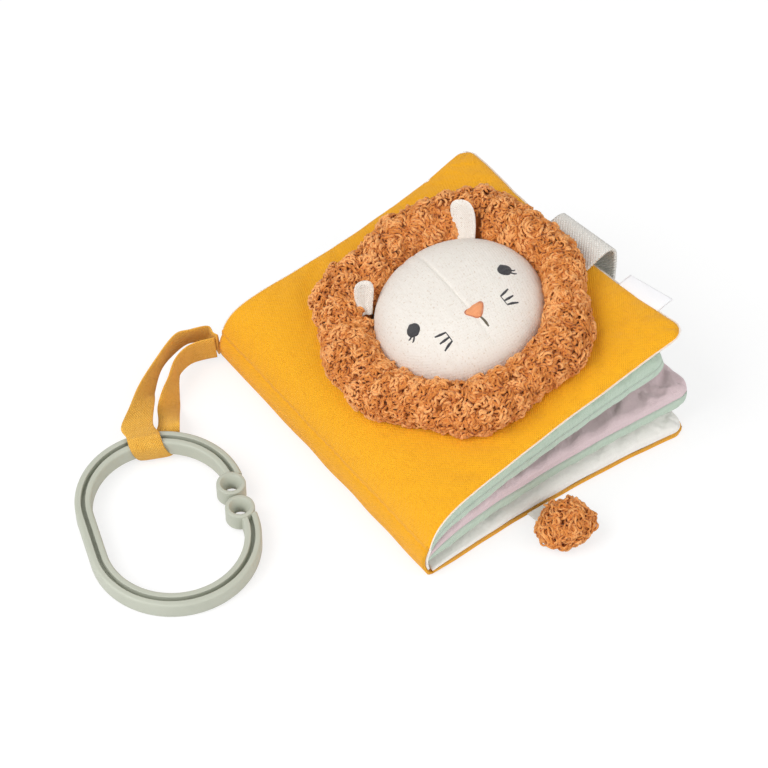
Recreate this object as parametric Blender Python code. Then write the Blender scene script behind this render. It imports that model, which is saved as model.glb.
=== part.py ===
"""Crinkle cloth book with a stuffed lion's head on its cover and a link ring on a cloth loop.

Metres, +Z up. The origin is the middle of the back cover's underside. +X runs from the spine
to the fore-edge and +Y from the tail edge of the pages to their head edge. The book lies a
little open: the back cover is flat, and the two leaves and the front cover fan up from it.
"""

import math

import bmesh
import bpy
import numpy as np
from mathutils import Matrix, Vector

# Cloth, padding and the clearance between pieces that touch
GAP = 0.0003
CLOTH = 0.0008
FILM = 0.0004
SPINE_CLOTH = 0.0012
SPINE_LINING = 0.0006
SEAM = CLOTH + GAP / 2

# Covers and leaves, measured along each one from the spine and along the spine
COVER_HALF = 0.075
LEAF_HALF = 0.073
BACK_REACH = 0.135
FRONT_REACH = 0.1395
LEAF_1_REACH = 0.1305
LEAF_2_REACH = 0.1425
FRONT_LIE = math.radians(20.5)
LEAF_1_LIE = math.radians(16.9)
LEAF_2_LIE = math.radians(5.2)
FRONT_CROWN = 0.0135
FRONT_SPRING_SHARE = 0.065
FRONT_FALL = 1.8
LEAF_1_CROWN = 0.0105
LEAF_1_SPRING_SHARE = 0.08
LEAF_1_FALL = 2.2
LEAF_2_CROWN = 0.0065
LEAF_2_SPRING_SHARE = 0.09
LEAF_2_FALL = 1.0
FRONT_RISE = 0.0035
LEAF_RISE = 0.0045
BACK_RISE = 0.006
BACK_SINK = 0.0016
COVER_SOFT_EDGE = 0.018
LEAF_SOFT_EDGE = 0.008
COVER_TAPER = 0.1
LEAF_TAPER = 0.06
CORNER_RADIUS = 0.009
DRAW_IN = 0.0024
SPINE_MARGIN = 0.012
EDGE_MARGIN = 0.005
PANEL_LINES = 4
TAPER_POWER = 0.75

# Spine: heights of the three folds, its top, and how far its middle stands out
FOLD_BACK = 0.0065
FOLD_MIDDLE = 0.0105
FOLD_FRONT = 0.0145
SPINE_TOP = 0.0166
SPINE_EDGE = 0.0675
SPINE_BULGE = 0.0035
SPINE_CENTRE = 0.00975
SPINE_LINING_FOOT = 0.004
FRONT_SEAT = (-0.0682, 0.01775)
BACK_START = -0.0662

# Lion's head, in its own plane: x to the lion's left, y to the top of the head
HEAD_REACH = 0.0758
HEAD_OFFSET = -0.0052
HEAD_TURN = math.radians(-4)
FACE_HALF_WIDTH = 0.0374
FACE_HALF_HEIGHT = 0.037
FACE_WALL = 0.005
FACE_TOP = 0.0238
FACE_CLOTH = 0.0009
FACE_POWER = 2.2
HEAD_BACK_THICKNESS = 0.0008
HEAD_SEGMENTS = 24
MANE_SHIFT_X = -0.001
MANE_SHIFT_Y = 0.0033
MANE_HALF_WIDTH = 0.0563
MANE_HALF_HEIGHT = 0.0615
MANE_HEIGHT = 0.0158
MANE_CLEARANCE = 0.0005
MANE_LOBES = 11
MANE_LOBE_DEPTH = 0.002
MANE_LOBE_SWELL_SHARE = 0.05
STEPS_PER_LOBE = 4
EAR_LEFT = (0.0245, 0.028)
EAR_RIGHT = (-0.0265, 0.0222)
EAR_LIFT = 0.0129
EAR_LENGTH = 0.0105
EAR_WIDTH = 0.0105
EAR_THICKNESS = 0.0024
EAR_TIP_LIFT = 0.0088
EAR_SIDES = 8
STITCH_THICKNESS = 0.0006
EYE_SPREAD = 0.0222
EYE_Y = -0.004
EYE_WIDTH = 0.0056
EYE_HEIGHT = 0.0072
EYE_SEGMENTS = 14
NOSE_X = 0.0016
NOSE_Y = -0.013
NOSE_WIDTH = 0.0086
NOSE_HEIGHT = 0.0052
NOSE_ROUNDING = 0.0014
MOUTH_LENGTH = 0.0054
MOUTH_WIDTH = 0.001
WHISKER_SPREAD = 0.0138
WHISKER_Y = -0.0145
WHISKER_STROKE = 0.0052
WHISKER_STEP = 0.0029
WHISKER_WIDTH = 0.0008

# Closure strap on the front cover's fore-edge
STRAP_WIDTH = 0.04
STRAP_OFFSET = -0.004
STRAP_THICKNESS = 0.0014
STRAP_UNDER_MANE = 0.0034
STRAP_OVERHANG = 0.004
STRAP_LIFT = 0.0018
STRAP_BEND = 0.0055
STRAP_DROP = 0.03
STRAP_SLIT = 0.0005
STRAP_STEPS = 5

# Folded tag in the front cover's fore-edge seam
TAG_WIDTH = 0.0215
TAG_LENGTH = 0.0105
TAG_THICKNESS = 0.0009
TAG_ROOT = 0.0006
TAG_OFFSET = -0.0443

# Link ring lying beside the spine
RING_HEAD_CENTRE = (-0.1385, 0.0195)
RING_TAIL_CENTRE = (-0.145, -0.002)
RING_RADIUS = 0.0324
BAR_WIDTH = 0.0072
BAR_HEIGHT = 0.008
BAR_CHAMFER = 0.0008
GROOVE_WIDTH = 0.0016
GROOVE_DEPTH = 0.0034
EYELET_PITCH = 0.0132
EYELET_SHIFT = 0.0015
EYELET_INSET = 0.0025
EYELET_DIAMETER = 0.0126
EYELET_BORE = 0.0072
EYELET_HEIGHT = 0.0094
EYELET_SEGMENTS = 20
BAR_START = 0.0044
ARC_STEPS = 14
LOOP_AT_RING = math.radians(66.5)

# Cloth loop that holds the ring, sewn at the spine's head corner
LOOP_WIDTH = 0.0143
LOOP_THICKNESS = 0.0016
LOOP_ROOT_X = -0.0708
LOOP_ROOT_HEIGHT = 0.011
LOOP_BULGE = 0.016
LOOP_CREST = 0.016
LOOP_INNER_RADIUS = 0.0057
LOOP_WRAP_START = math.radians(98)
LOOP_WRAP_END = math.radians(318)
LOOP_WRAP_STEPS = 12

# Tail in the back cover's tail-edge seam
TAIL_X = -0.0093
TAIL_STEM_WIDTH = 0.0127
TAIL_STEM_THICKNESS = 0.0014
TAIL_STEM_PINCH = 0.0004
TAIL_STEM_ROOT = 0.0006
TAIL_STEM_FULL = 0.0026
TAIL_STEM_LENGTH = 0.0105
TAIL_STEM_HEIGHT = 0.0026
TAIL_TIP_AWAY = 0.0182
TAIL_TIP_HALF_WIDTH = 0.012
TAIL_TIP_HALF_LENGTH = 0.0108
TAIL_TIP_HEIGHT = 0.0205
TAIL_TIP_FLAT = 0.0005
TAIL_TIP_FOOT_SHARE = 0.06
TAIL_TIP_LUMP = 0.0006
TAIL_TIP_LUMPS = 6
TAIL_TIP_SEGMENTS = 24

MUSTARD = (0.87, 0.46, 0.03)
CREAM = (0.86, 0.83, 0.79)
MINT = (0.48, 0.63, 0.5)
PINK = (0.62, 0.44, 0.44)
CARAMEL = (0.68, 0.27, 0.06)
LINEN = (0.83, 0.78, 0.72)
CHARCOAL = (0.035, 0.032, 0.035)
APRICOT = (0.83, 0.33, 0.12)
OLIVE = (0.09, 0.07, 0.05)
SAGE = (0.5, 0.53, 0.45)
WHITE = (0.85, 0.85, 0.86)
FOIL = (0.75, 0.76, 0.78)
FIBRE = (0.9, 0.9, 0.88)


def clear_scene():
    """Removes whatever the scene already holds."""
    for obj in list(bpy.context.scene.objects):
        bpy.data.objects.remove(obj)


def material(name, colour, roughness):
    """One Principled material."""
    made = bpy.data.materials.new(name)
    made.use_nodes = True
    shader = made.node_tree.nodes["Principled BSDF"]
    shader.inputs["Base Color"].default_value = (*colour, 1.0)
    shader.inputs["Roughness"].default_value = roughness
    shader.inputs["Metallic"].default_value = 0.0
    return made


def pivot(name, place, parent=None):
    """An empty on a joint's axis, carried by the empty of the body that it turns on."""
    empty = bpy.data.objects.new(name, None)
    bpy.context.scene.collection.objects.link(empty)
    empty.parent = parent
    carrier = Vector(parent["place"]) if parent else Vector()
    empty.location = Vector(place) - carrier
    empty["place"] = tuple(place)
    return empty


def add_solid(name, points, faces, look, carrier, smooth=True):
    """One named object from world points, stored about the pivot that carries it."""
    mesh = bpy.data.meshes.new(name)
    start = Vector(carrier["place"])
    mesh.from_pydata([tuple(Vector(p) - start) for p in points], [], faces)
    shape = bmesh.new()
    shape.from_mesh(mesh)
    bmesh.ops.recalc_face_normals(shape, faces=shape.faces)
    shape.to_mesh(mesh)
    shape.free()
    mesh.materials.append(material(name + "_look", *look))
    if smooth:
        mesh.shade_smooth()
        mesh.set_sharp_from_angle(angle=math.radians(50))
    made = bpy.data.objects.new(name, mesh)
    bpy.context.scene.collection.objects.link(made)
    made.parent = carrier
    return made


def shell_between(upper, lower):
    """Points and faces of the closed body between two grids of points of the same shape."""
    rows = len(upper)
    columns = len(upper[0])
    points = [p for row in upper for p in row] + [p for row in lower for p in row]
    below = rows * columns
    faces = []
    for i in range(rows - 1):
        for j in range(columns - 1):
            a = i * columns + j
            quad = (a, a + columns, a + columns + 1, a + 1)
            faces.append(quad)
            faces.append(tuple(below + k for k in reversed(quad)))
    rim = list(range(columns))
    rim += [i * columns + columns - 1 for i in range(1, rows)]
    rim += [(rows - 1) * columns + j for j in range(columns - 2, -1, -1)]
    rim += [i * columns for i in range(rows - 2, 0, -1)]
    for k, a in enumerate(rim):
        b = rim[(k + 1) % len(rim)]
        faces.append((a, b, below + b, below + a))
    return points, faces


def sweep(sections, closed=False):
    """Points and faces of a solid through equal rings of points, capped unless it closes."""
    count = len(sections[0])
    points = [p for ring in sections for p in ring]
    faces = []
    spans = len(sections) if closed else len(sections) - 1
    for i in range(spans):
        for j in range(count):
            a = i * count + j
            b = i * count + (j + 1) % count
            c = (i + 1) % len(sections) * count + (j + 1) % count
            d = (i + 1) % len(sections) * count + j
            faces.append((a, b, c, d))
    if not closed:
        faces.append(tuple(range(count)))
        faces.append(tuple(range((len(sections) - 1) * count, len(sections) * count)))
    return points, faces


def spine_face(z):
    """The x of the spine's outer face at a height, straight from each fold to the next.

    The folds lie on a curve that stands out most at the spine's middle.
    """
    heights = (0.0, FOLD_BACK, FOLD_MIDDLE, FOLD_FRONT, SPINE_TOP)
    away = [(height - SPINE_CENTRE) / SPINE_CENTRE for height in heights]
    faces = [-(SPINE_EDGE + SPINE_BULGE * (1 - a * a)) for a in away]
    return float(np.interp(z, heights, faces))


def spine_inside(z):
    """The x at which a leaf can start, inside the spine's cloth and lining."""
    return spine_face(z) + SPINE_CLOTH + SPINE_LINING + 2 * GAP


def soft_rise(distance, width):
    """How full a padded edge is at a distance from its seam: a quarter ellipse."""
    if distance >= width:
        return 1.0
    return math.sqrt(max(0.0, 1 - (1 - distance / width) ** 2))


def arched(share, reach, crown, spring_share, fall):
    """How far a panel's middle stands off its chord, and the slope there.

    It springs up from the spine within spring_share of the reach, then falls to the fore-edge.
    """
    ahead = max(0.0, 1 - share)
    left = math.exp(-share / spring_share)
    rise = crown * (1 - left) * ahead**fall
    climb = left / spring_share * ahead**fall
    drop = (1 - left) * fall * ahead ** (fall - 1)
    return rise, math.atan(crown / reach * (climb - drop))


class Panel:
    """A padded cover or leaf: two cloths sewn at their edges over wadding and crinkle film.

    u runs from the spine, v along the spine, and n stands square to the arched middle.
    """

    def __init__(self, start, reach, half, lie, arch, above, below, soft_edge, taper):
        self.start = start
        self.reach = reach
        self.half = half
        self.lie = lie
        self.arch = arch
        self.above = above
        self.below = below
        self.soft_edge = soft_edge
        self.taper = taper

    def place(self, u, v, n):
        """World point of a place on the panel."""
        rise, slope = arched(u / self.reach, self.reach, *self.arch)
        out = rise + n * math.cos(slope)
        along = u - n * math.sin(slope)
        x = self.start[0] + along * math.cos(self.lie) - out * math.sin(self.lie)
        z = self.start[1] + along * math.sin(self.lie) + out * math.cos(self.lie)
        return Vector((x, v, z))

    def outline(self, u, v):
        """Draws the sides in a little between the corners and rounds the fore corners."""
        u_share = u / self.reach
        v_share = v / self.half
        drawn_v = v * (1 - 4 * u_share * (1 - u_share) * DRAW_IN / self.half)
        drawn_u = u - DRAW_IN * u_share * u_share * (1 - v_share * v_share)
        if u_share == 1 and abs(v_share) == 1:
            cut = CORNER_RADIUS * (1 - math.sqrt(0.5))
            drawn_u -= cut
            drawn_v -= math.copysign(cut, v)
        return drawn_u, drawn_v

    def fullness(self, u, v, soft_edge, taper):
        """Share of the full rise at a place, 0 on the seam."""
        at_spine = min(1.0, u / taper) ** TAPER_POWER
        at_sides = soft_rise(self.half - abs(v), soft_edge)
        return at_spine * at_sides * soft_rise(self.reach - u, soft_edge)

    def lines(self):
        """Grid lines along u and v: one close to each seam and an even spread between."""
        inner_u = np.linspace(SPINE_MARGIN, self.reach - EDGE_MARGIN, PANEL_LINES + 2)
        side = self.half - EDGE_MARGIN
        inner_v = np.linspace(-side, side, PANEL_LINES + 2)
        return [0.0, *inner_u, self.reach], [-self.half, *inner_v, self.half]

    def grid(self, height, inner=False):
        """Rows of world points at the heights that a function of u and v gives."""
        us, vs = self.lines()
        if inner:
            us = us[1:-1]
            vs = vs[1:-1]
        rows = []
        for u in us:
            row = []
            for v in vs:
                drawn_u, drawn_v = self.outline(u, v)
                row.append(self.place(drawn_u, drawn_v, height(u, v)))
            rows.append(row)
        return rows

    def top(self, u, v):
        """Height of the upper cloth's outer face over the middle."""
        return SEAM + self.above * self.fullness(u, v, self.soft_edge, self.taper)

    def bottom(self, u, v):
        """Height of the lower cloth's outer face, below the middle."""
        return -SEAM - self.below * self.fullness(u, v, self.soft_edge, self.taper)

    def build(self, prefix, upper_name, lower_name, upper_look, lower_look, carrier):
        """The four layers of the panel, from the top down."""

        def under_top(drop):
            return lambda u, v: self.top(u, v) - drop

        def over_bottom(lift):
            return lambda u, v: self.bottom(u, v) + lift

        film_top = CLOTH + GAP
        wadding_top = film_top + FILM + GAP
        layers = (
            (upper_name, self.top, under_top(CLOTH), False, upper_look),
            (
                prefix + "_crinkle_film",
                under_top(film_top),
                under_top(film_top + FILM),
                True,
                (FOIL, 0.25),
            ),
            (
                prefix + "_wadding",
                under_top(wadding_top),
                over_bottom(CLOTH + GAP),
                True,
                (FIBRE, 0.95),
            ),
            (lower_name, over_bottom(CLOTH), self.bottom, False, lower_look),
        )
        for name, upper, lower, inner, look in layers:
            solid = shell_between(self.grid(upper, inner), self.grid(lower, inner))
            add_solid(name, *solid, look, carrier)


class FlatPanel(Panel):
    """The back cover: as the other panels, but flat underneath, where it lies on the table."""

    def bottom(self, u, v):
        margin = SPINE_MARGIN if u < SPINE_MARGIN else EDGE_MARGIN
        return -SEAM - self.below * self.fullness(u, v, margin, SPINE_MARGIN)


def leaf_start(fold_below, fold_above, lie, arch, reach):
    """Where a leaf's middle starts, half way between the folds below and above it."""
    z = (fold_below + fold_above) / 2
    slope = lie + arched(0.0, reach, *arch)[1]
    return spine_inside(z) + SEAM * math.sin(slope), z


FRONT_ARCH = (FRONT_CROWN, FRONT_SPRING_SHARE, FRONT_FALL)
LEAF_1_ARCH = (LEAF_1_CROWN, LEAF_1_SPRING_SHARE, LEAF_1_FALL)
LEAF_2_ARCH = (LEAF_2_CROWN, LEAF_2_SPRING_SHARE, LEAF_2_FALL)
FLAT = (0.0, 1.0, 1.0)


BACK = FlatPanel(
    (BACK_START, SEAM + BACK_SINK),
    BACK_REACH,
    COVER_HALF,
    0.0,
    FLAT,
    BACK_RISE,
    BACK_SINK,
    COVER_SOFT_EDGE,
    COVER_TAPER,
)
LEAF_2 = Panel(
    leaf_start(FOLD_BACK, FOLD_MIDDLE, LEAF_2_LIE, LEAF_2_ARCH, LEAF_2_REACH),
    LEAF_2_REACH,
    LEAF_HALF,
    LEAF_2_LIE,
    LEAF_2_ARCH,
    LEAF_RISE,
    LEAF_RISE,
    LEAF_SOFT_EDGE,
    LEAF_TAPER,
)
LEAF_1 = Panel(
    leaf_start(FOLD_MIDDLE, FOLD_FRONT, LEAF_1_LIE, LEAF_1_ARCH, LEAF_1_REACH),
    LEAF_1_REACH,
    LEAF_HALF,
    LEAF_1_LIE,
    LEAF_1_ARCH,
    LEAF_RISE,
    LEAF_RISE,
    LEAF_SOFT_EDGE,
    LEAF_TAPER,
)
FRONT = Panel(
    FRONT_SEAT,
    FRONT_REACH,
    COVER_HALF,
    FRONT_LIE,
    FRONT_ARCH,
    FRONT_RISE,
    FRONT_RISE,
    COVER_SOFT_EDGE,
    COVER_TAPER,
)
HEAD_SEAT = SEAM + FRONT_RISE + GAP


def build_spine(bodies):
    """The spine's cloth and its lining, a strip of each for every cover and leaf."""
    folds = (0.0, FOLD_BACK, FOLD_MIDDLE, FOLD_FRONT, SPINE_TOP)
    for k, (name, carrier) in enumerate(bodies):
        low = folds[k] + (GAP / 2 if k else 0.0)
        high = folds[k + 1] - (GAP / 2 if k < len(bodies) - 1 else 0.0)
        strip("spine_cloth_" + name, low, high, 0.0, SPINE_CLOTH, MUSTARD, carrier)
        foot = max(low, SPINE_LINING_FOOT)
        inset = SPINE_CLOTH + GAP
        strip("spine_lining_" + name, foot, high, inset, SPINE_LINING, CREAM, carrier)


def strip(name, low, high, inset, thickness, colour, carrier):
    """A strip along the spine between two heights."""
    corners = (
        (spine_face(low) + inset, low),
        (spine_face(high) + inset, high),
        (spine_face(high) + inset + thickness, high),
        (spine_face(low) + inset + thickness, low),
    )
    ends = [[(x, y, z) for x, z in corners] for y in (-COVER_HALF, COVER_HALF)]
    add_solid(name, *sweep(ends), (colour, 0.9), carrier, smooth=False)


def head_point(x, y, height):
    """World point of a place on the head, height counted from the head's back."""
    u = HEAD_REACH + x * math.cos(HEAD_TURN) - y * math.sin(HEAD_TURN)
    v = HEAD_OFFSET + x * math.sin(HEAD_TURN) + y * math.cos(HEAD_TURN)
    return FRONT.place(u, v, HEAD_SEAT + height)


def dome_height(rho, wall, top):
    """Height of a stuffed dome at a share of its radius."""
    return wall + (top - wall) * math.sqrt(max(0.0, 1 - rho**FACE_POWER))


def turned(half_x, half_y, profile):
    """Oval rings of points on the head, one for each share of the radius and height."""
    rings = []
    for share, height in profile:
        ring = []
        for k in range(HEAD_SEGMENTS):
            turn = 2 * math.pi * k / HEAD_SEGMENTS
            x = half_x * share * math.cos(turn)
            y = half_y * share * math.sin(turn)
            ring.append(head_point(x, y, height))
        rings.append(ring)
    return rings


def dome_profile(wall, top):
    """Shares and heights up a dome from its wall to its crown."""
    shares = (1.0, 0.97, 0.88, 0.74, 0.56, 0.36, 0.14)
    return [(share, dome_height(share, wall, top)) for share in shares]


def build_face(carrier):
    """The head's back disc, its filling and the domed face cloth with an open foot."""
    half_x = FACE_HALF_WIDTH
    half_y = FACE_HALF_HEIGHT
    disc_shares = (0.08, 0.4, 0.72, 1.0)
    underside = [(share, 0.0) for share in disc_shares]
    upside = [(share, HEAD_BACK_THICKNESS) for share in reversed(disc_shares)]
    disc = turned(half_x, half_y, underside + upside)
    add_solid("head_back", *sweep(disc), (LINEN, 0.9), carrier, smooth=False)

    foot = HEAD_BACK_THICKNESS + GAP
    inset = FACE_CLOTH + GAP
    profile = [(share, foot) for share in disc_shares]
    profile += dome_profile(FACE_WALL - inset, FACE_TOP - inset)
    filling = turned(half_x - inset, half_y - inset, profile)
    add_solid("head_filling", *sweep(filling), (FIBRE, 0.95), carrier)

    inner_profile = [(1.0, foot), *dome_profile(FACE_WALL - FACE_CLOTH, FACE_TOP - FACE_CLOTH)]
    inner = turned(half_x - FACE_CLOTH, half_y - FACE_CLOTH, reversed(inner_profile))
    outer = turned(half_x, half_y, [(1.0, foot), *dome_profile(FACE_WALL, FACE_TOP)])
    add_solid("face_cloth", *sweep(inner + outer), (LINEN, 0.85), carrier)


def build_mane(carrier):
    """The lobed ring of fleece round the face, leaning in over the face's edge."""
    count = MANE_LOBES * STEPS_PER_LOBE
    rim_share = 0.96
    section_shares = (
        (0.55, 0.0),
        (0.0, 0.0),
        (0.0, 0.43),
        (0.0, 0.66),
        (0.2, 0.88),
        (0.5, 1.0),
        (0.82, 0.83),
        (1.0, 0.42),
        (0.84, 0.16),
    )
    rings = []
    for k in range(count):
        turn = 2 * math.pi * k / count
        x = math.cos(turn)
        y = math.sin(turn)
        lobe = math.cos(MANE_LOBES * turn)
        face_x = (FACE_HALF_WIDTH + MANE_CLEARANCE) * x
        face_y = (FACE_HALF_HEIGHT + MANE_CLEARANCE) * y
        outer_x = MANE_SHIFT_X + (MANE_HALF_WIDTH + MANE_LOBE_DEPTH * lobe) * x
        outer_y = MANE_SHIFT_Y + (MANE_HALF_HEIGHT + MANE_LOBE_DEPTH * lobe) * y
        ring = []
        for number, (across, up) in enumerate(section_shares):
            lean = rim_share if number == 3 else 1.0
            height = MANE_HEIGHT * up * (1 + MANE_LOBE_SWELL_SHARE * lobe * across)
            at_x = face_x * lean + (outer_x - face_x) * across
            at_y = face_y * lean + (outer_y - face_y) * across
            ring.append(head_point(at_x, at_y, height))
        rings.append(ring)
    add_solid("mane", *sweep(rings, closed=True), (CARAMEL, 0.95), carrier)


def build_ear(name, foot, carrier):
    """A flattened tab that starts at the face's edge and stands up over the mane."""
    profile_shares = ((0.0, 0.82, 1.0), (0.3, 0.96, 1.0), (0.62, 1.0, 0.95), (0.86, 0.82, 0.8))
    tip_share = (1.0, 0.4, 0.4)
    out = Vector(foot).normalized()
    across = Vector((-out.y, out.x))
    rings = []
    for along, width, thick in (*profile_shares, tip_share):
        centre = Vector(foot) + out * EAR_LENGTH * along
        height = EAR_LIFT + EAR_TIP_LIFT * math.sin(along * math.pi / 2)
        ring = []
        for k in range(EAR_SIDES):
            turn = 2 * math.pi * k / EAR_SIDES
            flat = centre + across * (EAR_WIDTH / 2 * width * math.cos(turn))
            lift = EAR_THICKNESS / 2 * thick * math.sin(turn)
            ring.append(head_point(flat.x, flat.y, height + lift))
        rings.append(ring)
    add_solid(name, *sweep(rings), (LINEN, 0.85), carrier)


def embroidery(name, outline, colour, carrier):
    """A raised patch of satin stitches that follows the face under its outline."""
    lower = []
    upper = []
    for x, y in outline:
        rho = math.hypot(x / FACE_HALF_WIDTH, y / FACE_HALF_HEIGHT)
        height = dome_height(rho, FACE_WALL, FACE_TOP) + GAP
        lower.append(head_point(x, y, height))
        upper.append(head_point(x, y, height + STITCH_THICKNESS))
    add_solid(name, *sweep([lower, upper]), (colour, 0.6), carrier, smooth=False)


def oval(centre_x, centre_y, width, height, count):
    """Points round an oval."""
    turns = [2 * math.pi * k / count for k in range(count)]
    return [
        (centre_x + width / 2 * math.cos(t), centre_y + height / 2 * math.sin(t))
        for t in turns
    ]


def rounded_corners(corners, radius):
    """The polygon with each corner replaced by three points on a small round."""
    points = []
    for k, corner in enumerate(corners):
        here = Vector(corner)
        before = (Vector(corners[k - 1]) - here).normalized()
        after = (Vector(corners[(k + 1) % len(corners)]) - here).normalized()
        middle = (before + after).normalized()
        points.append(tuple(here + before * radius))
        points.append(tuple(here + middle * radius / 2))
        points.append(tuple(here + after * radius))
    return points


def whisker_comb(side):
    """Outline of three short strokes that reach out sideways from one thin upright line."""
    inner = side * WHISKER_SPREAD
    stem = side * (WHISKER_SPREAD + WHISKER_WIDTH)
    tip = side * (WHISKER_SPREAD + WHISKER_STROKE)
    points = [(inner, WHISKER_Y)]
    for k in range(3):
        top = WHISKER_Y - WHISKER_STEP * k
        foot = top - WHISKER_WIDTH
        if k:
            points.append((stem, top))
        points.append((tip, top))
        points.append((tip, foot))
        points.append((stem if k < 2 else inner, foot))
    return points


def build_features(carrier):
    """Eyes, nose, mouth and whiskers."""
    for name, side in (("left", 1), ("right", -1)):
        eye = oval(side * EYE_SPREAD, EYE_Y, EYE_WIDTH, EYE_HEIGHT, EYE_SEGMENTS)
        embroidery("eye_" + name, eye, CHARCOAL, carrier)
        embroidery("whiskers_" + name, whisker_comb(side), CHARCOAL, carrier)
    nose_top = NOSE_Y
    nose_foot = NOSE_Y - NOSE_HEIGHT
    nose_left = NOSE_X + NOSE_WIDTH / 2
    nose_right = NOSE_X - NOSE_WIDTH / 2
    corners = ((nose_right, nose_top), (NOSE_X, nose_foot), (nose_left, nose_top))
    embroidery("nose", rounded_corners(corners, NOSE_ROUNDING), APRICOT, carrier)
    mouth_top = nose_foot - GAP
    mouth_left = NOSE_X + MOUTH_WIDTH / 2
    mouth_right = NOSE_X - MOUTH_WIDTH / 2
    mouth = (
        (mouth_right, mouth_top),
        (mouth_left, mouth_top),
        (mouth_left, mouth_top - MOUTH_LENGTH),
        (mouth_right, mouth_top - MOUTH_LENGTH),
    )
    embroidery("mouth", mouth, OLIVE, carrier)


def banded(name, route, width, offset, thickness, look, carrier):
    """A band of cloth along a route of (x, z) points, its width along the spine."""
    rings = []
    for k, point in enumerate(route):
        before = Vector(route[max(k - 1, 0)])
        after = Vector(route[min(k + 1, len(route) - 1)])
        run = (after - before).normalized()
        square = Vector((-run.y, run.x)) * thickness / 2
        centre = Vector(point)
        low = centre - square
        high = centre + square
        ring = [
            (low.x, offset - width / 2, low.y),
            (low.x, offset + width / 2, low.y),
            (high.x, offset + width / 2, high.y),
            (high.x, offset - width / 2, high.y),
        ]
        rings.append(ring)
    add_solid(name, *sweep(rings), look, carrier, smooth=False)


def front_xz(u, n):
    """The (x, z) of a place on the front cover."""
    point = FRONT.place(u, 0.0, n)
    return point.x, point.z


def strap_route():
    """The strap's middle line over the fore-edge, its hanging flap's, and the hinge between.

    The hinge is on the upper face, so that the flap folds back without meeting the sewn part.
    """
    edge, _ = FRONT.outline(FRONT_REACH, STRAP_OFFSET)
    start_u = edge - STRAP_UNDER_MANE
    full = FRONT.top(FRONT_REACH - EDGE_MARGIN, STRAP_OFFSET)
    cloth = SEAM + (full - SEAM) * STRAP_UNDER_MANE / EDGE_MARGIN
    rest = cloth + GAP + STRAP_THICKNESS / 2
    crest = rest + STRAP_LIFT
    end_u = edge + STRAP_OVERHANG
    sewn = [front_xz(start_u, rest), front_xz(edge + GAP, crest), front_xz(end_u, crest)]
    hinge = front_xz(end_u, crest + STRAP_THICKNESS / 2)
    bend = []
    centre = Vector(sewn[-1]) + Vector((0.0, -STRAP_BEND))
    for k in range(STRAP_STEPS + 1):
        turn = math.pi / 2 * (1 - k / STRAP_STEPS)
        reach = Vector((math.cos(turn), math.sin(turn))) * STRAP_BEND
        bend.append(tuple(centre + reach + Vector((STRAP_SLIT, 0.0))))
    foot = Vector(bend[-1]) - Vector((0.0, STRAP_DROP))
    return sewn, bend + [tuple(foot)], hinge


def build_strap(cover, flap_pivot, sewn, hanging):
    """The closure strap: the part sewn to the cover and the flap that folds down."""
    look = (CREAM, 0.85)
    banded("strap_base", sewn, STRAP_WIDTH, STRAP_OFFSET, STRAP_THICKNESS, look, cover)
    banded("strap_flap", hanging, STRAP_WIDTH, STRAP_OFFSET, STRAP_THICKNESS, look, flap_pivot)


def tag_hinge():
    """The (u, n) of the tag's hinge, where the fore-edge seam is nearest to it."""
    drawn, _ = FRONT.outline(FRONT_REACH, TAG_OFFSET - TAG_WIDTH / 2)
    return drawn, 0.0


def build_tag(carrier):
    """The folded tag."""
    u, n = tag_hinge()
    route = [front_xz(u + TAG_ROOT, n), front_xz(u + TAG_LENGTH, n)]
    banded("tag", route, TAG_WIDTH, TAG_OFFSET, TAG_THICKNESS, (WHITE, 0.7), carrier)


def ring_axes():
    """Unit vectors along the ring's long axis and out to its eyelet side."""
    head = Vector(RING_HEAD_CENTRE)
    tail = Vector(RING_TAIL_CENTRE)
    long_axis = (head - tail).normalized()
    return head, tail, long_axis, Vector((long_axis.y, -long_axis.x))


def ring_path():
    """Centre line of the ring's bar from one eyelet round to the other, with outward normals."""
    head, tail, long_axis, out = ring_axes()
    middle = (head + tail) / 2 + long_axis * EYELET_SHIFT
    half_straight = (head - tail).length / 2
    path = []
    upper = EYELET_SHIFT + EYELET_PITCH / 2 + BAR_START
    first = math.asin(max(0.0, upper - half_straight) / RING_RADIUS)
    for k in range(ARC_STEPS + 1):
        turn = first + (math.pi - first) * k / ARC_STEPS
        normal = out * math.cos(turn) + long_axis * math.sin(turn)
        path.append((head + normal * RING_RADIUS, normal))
    for k in range(ARC_STEPS + 1):
        turn = math.pi + math.pi * k / ARC_STEPS
        normal = out * math.cos(turn) + long_axis * math.sin(turn)
        path.append((tail + normal * RING_RADIUS, normal))
    lower = EYELET_PITCH / 2 + BAR_START
    path.append((middle - long_axis * lower + out * RING_RADIUS, out))
    return path, middle, long_axis, out


def bar_section():
    """Outline of the bar across its length: softened corners and a groove along its top."""
    half = BAR_WIDTH / 2
    inner = half - BAR_CHAMFER
    low = -BAR_HEIGHT / 2
    high = BAR_HEIGHT / 2
    groove = GROOVE_WIDTH / 2
    return (
        (-inner, low),
        (inner, low),
        (half, low + BAR_CHAMFER),
        (half, high - BAR_CHAMFER),
        (inner, high),
        (groove, high),
        (groove, high - GROOVE_DEPTH),
        (-groove, high - GROOVE_DEPTH),
        (-groove, high),
        (-inner, high),
        (-half, high - BAR_CHAMFER),
        (-half, low + BAR_CHAMFER),
    )


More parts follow.
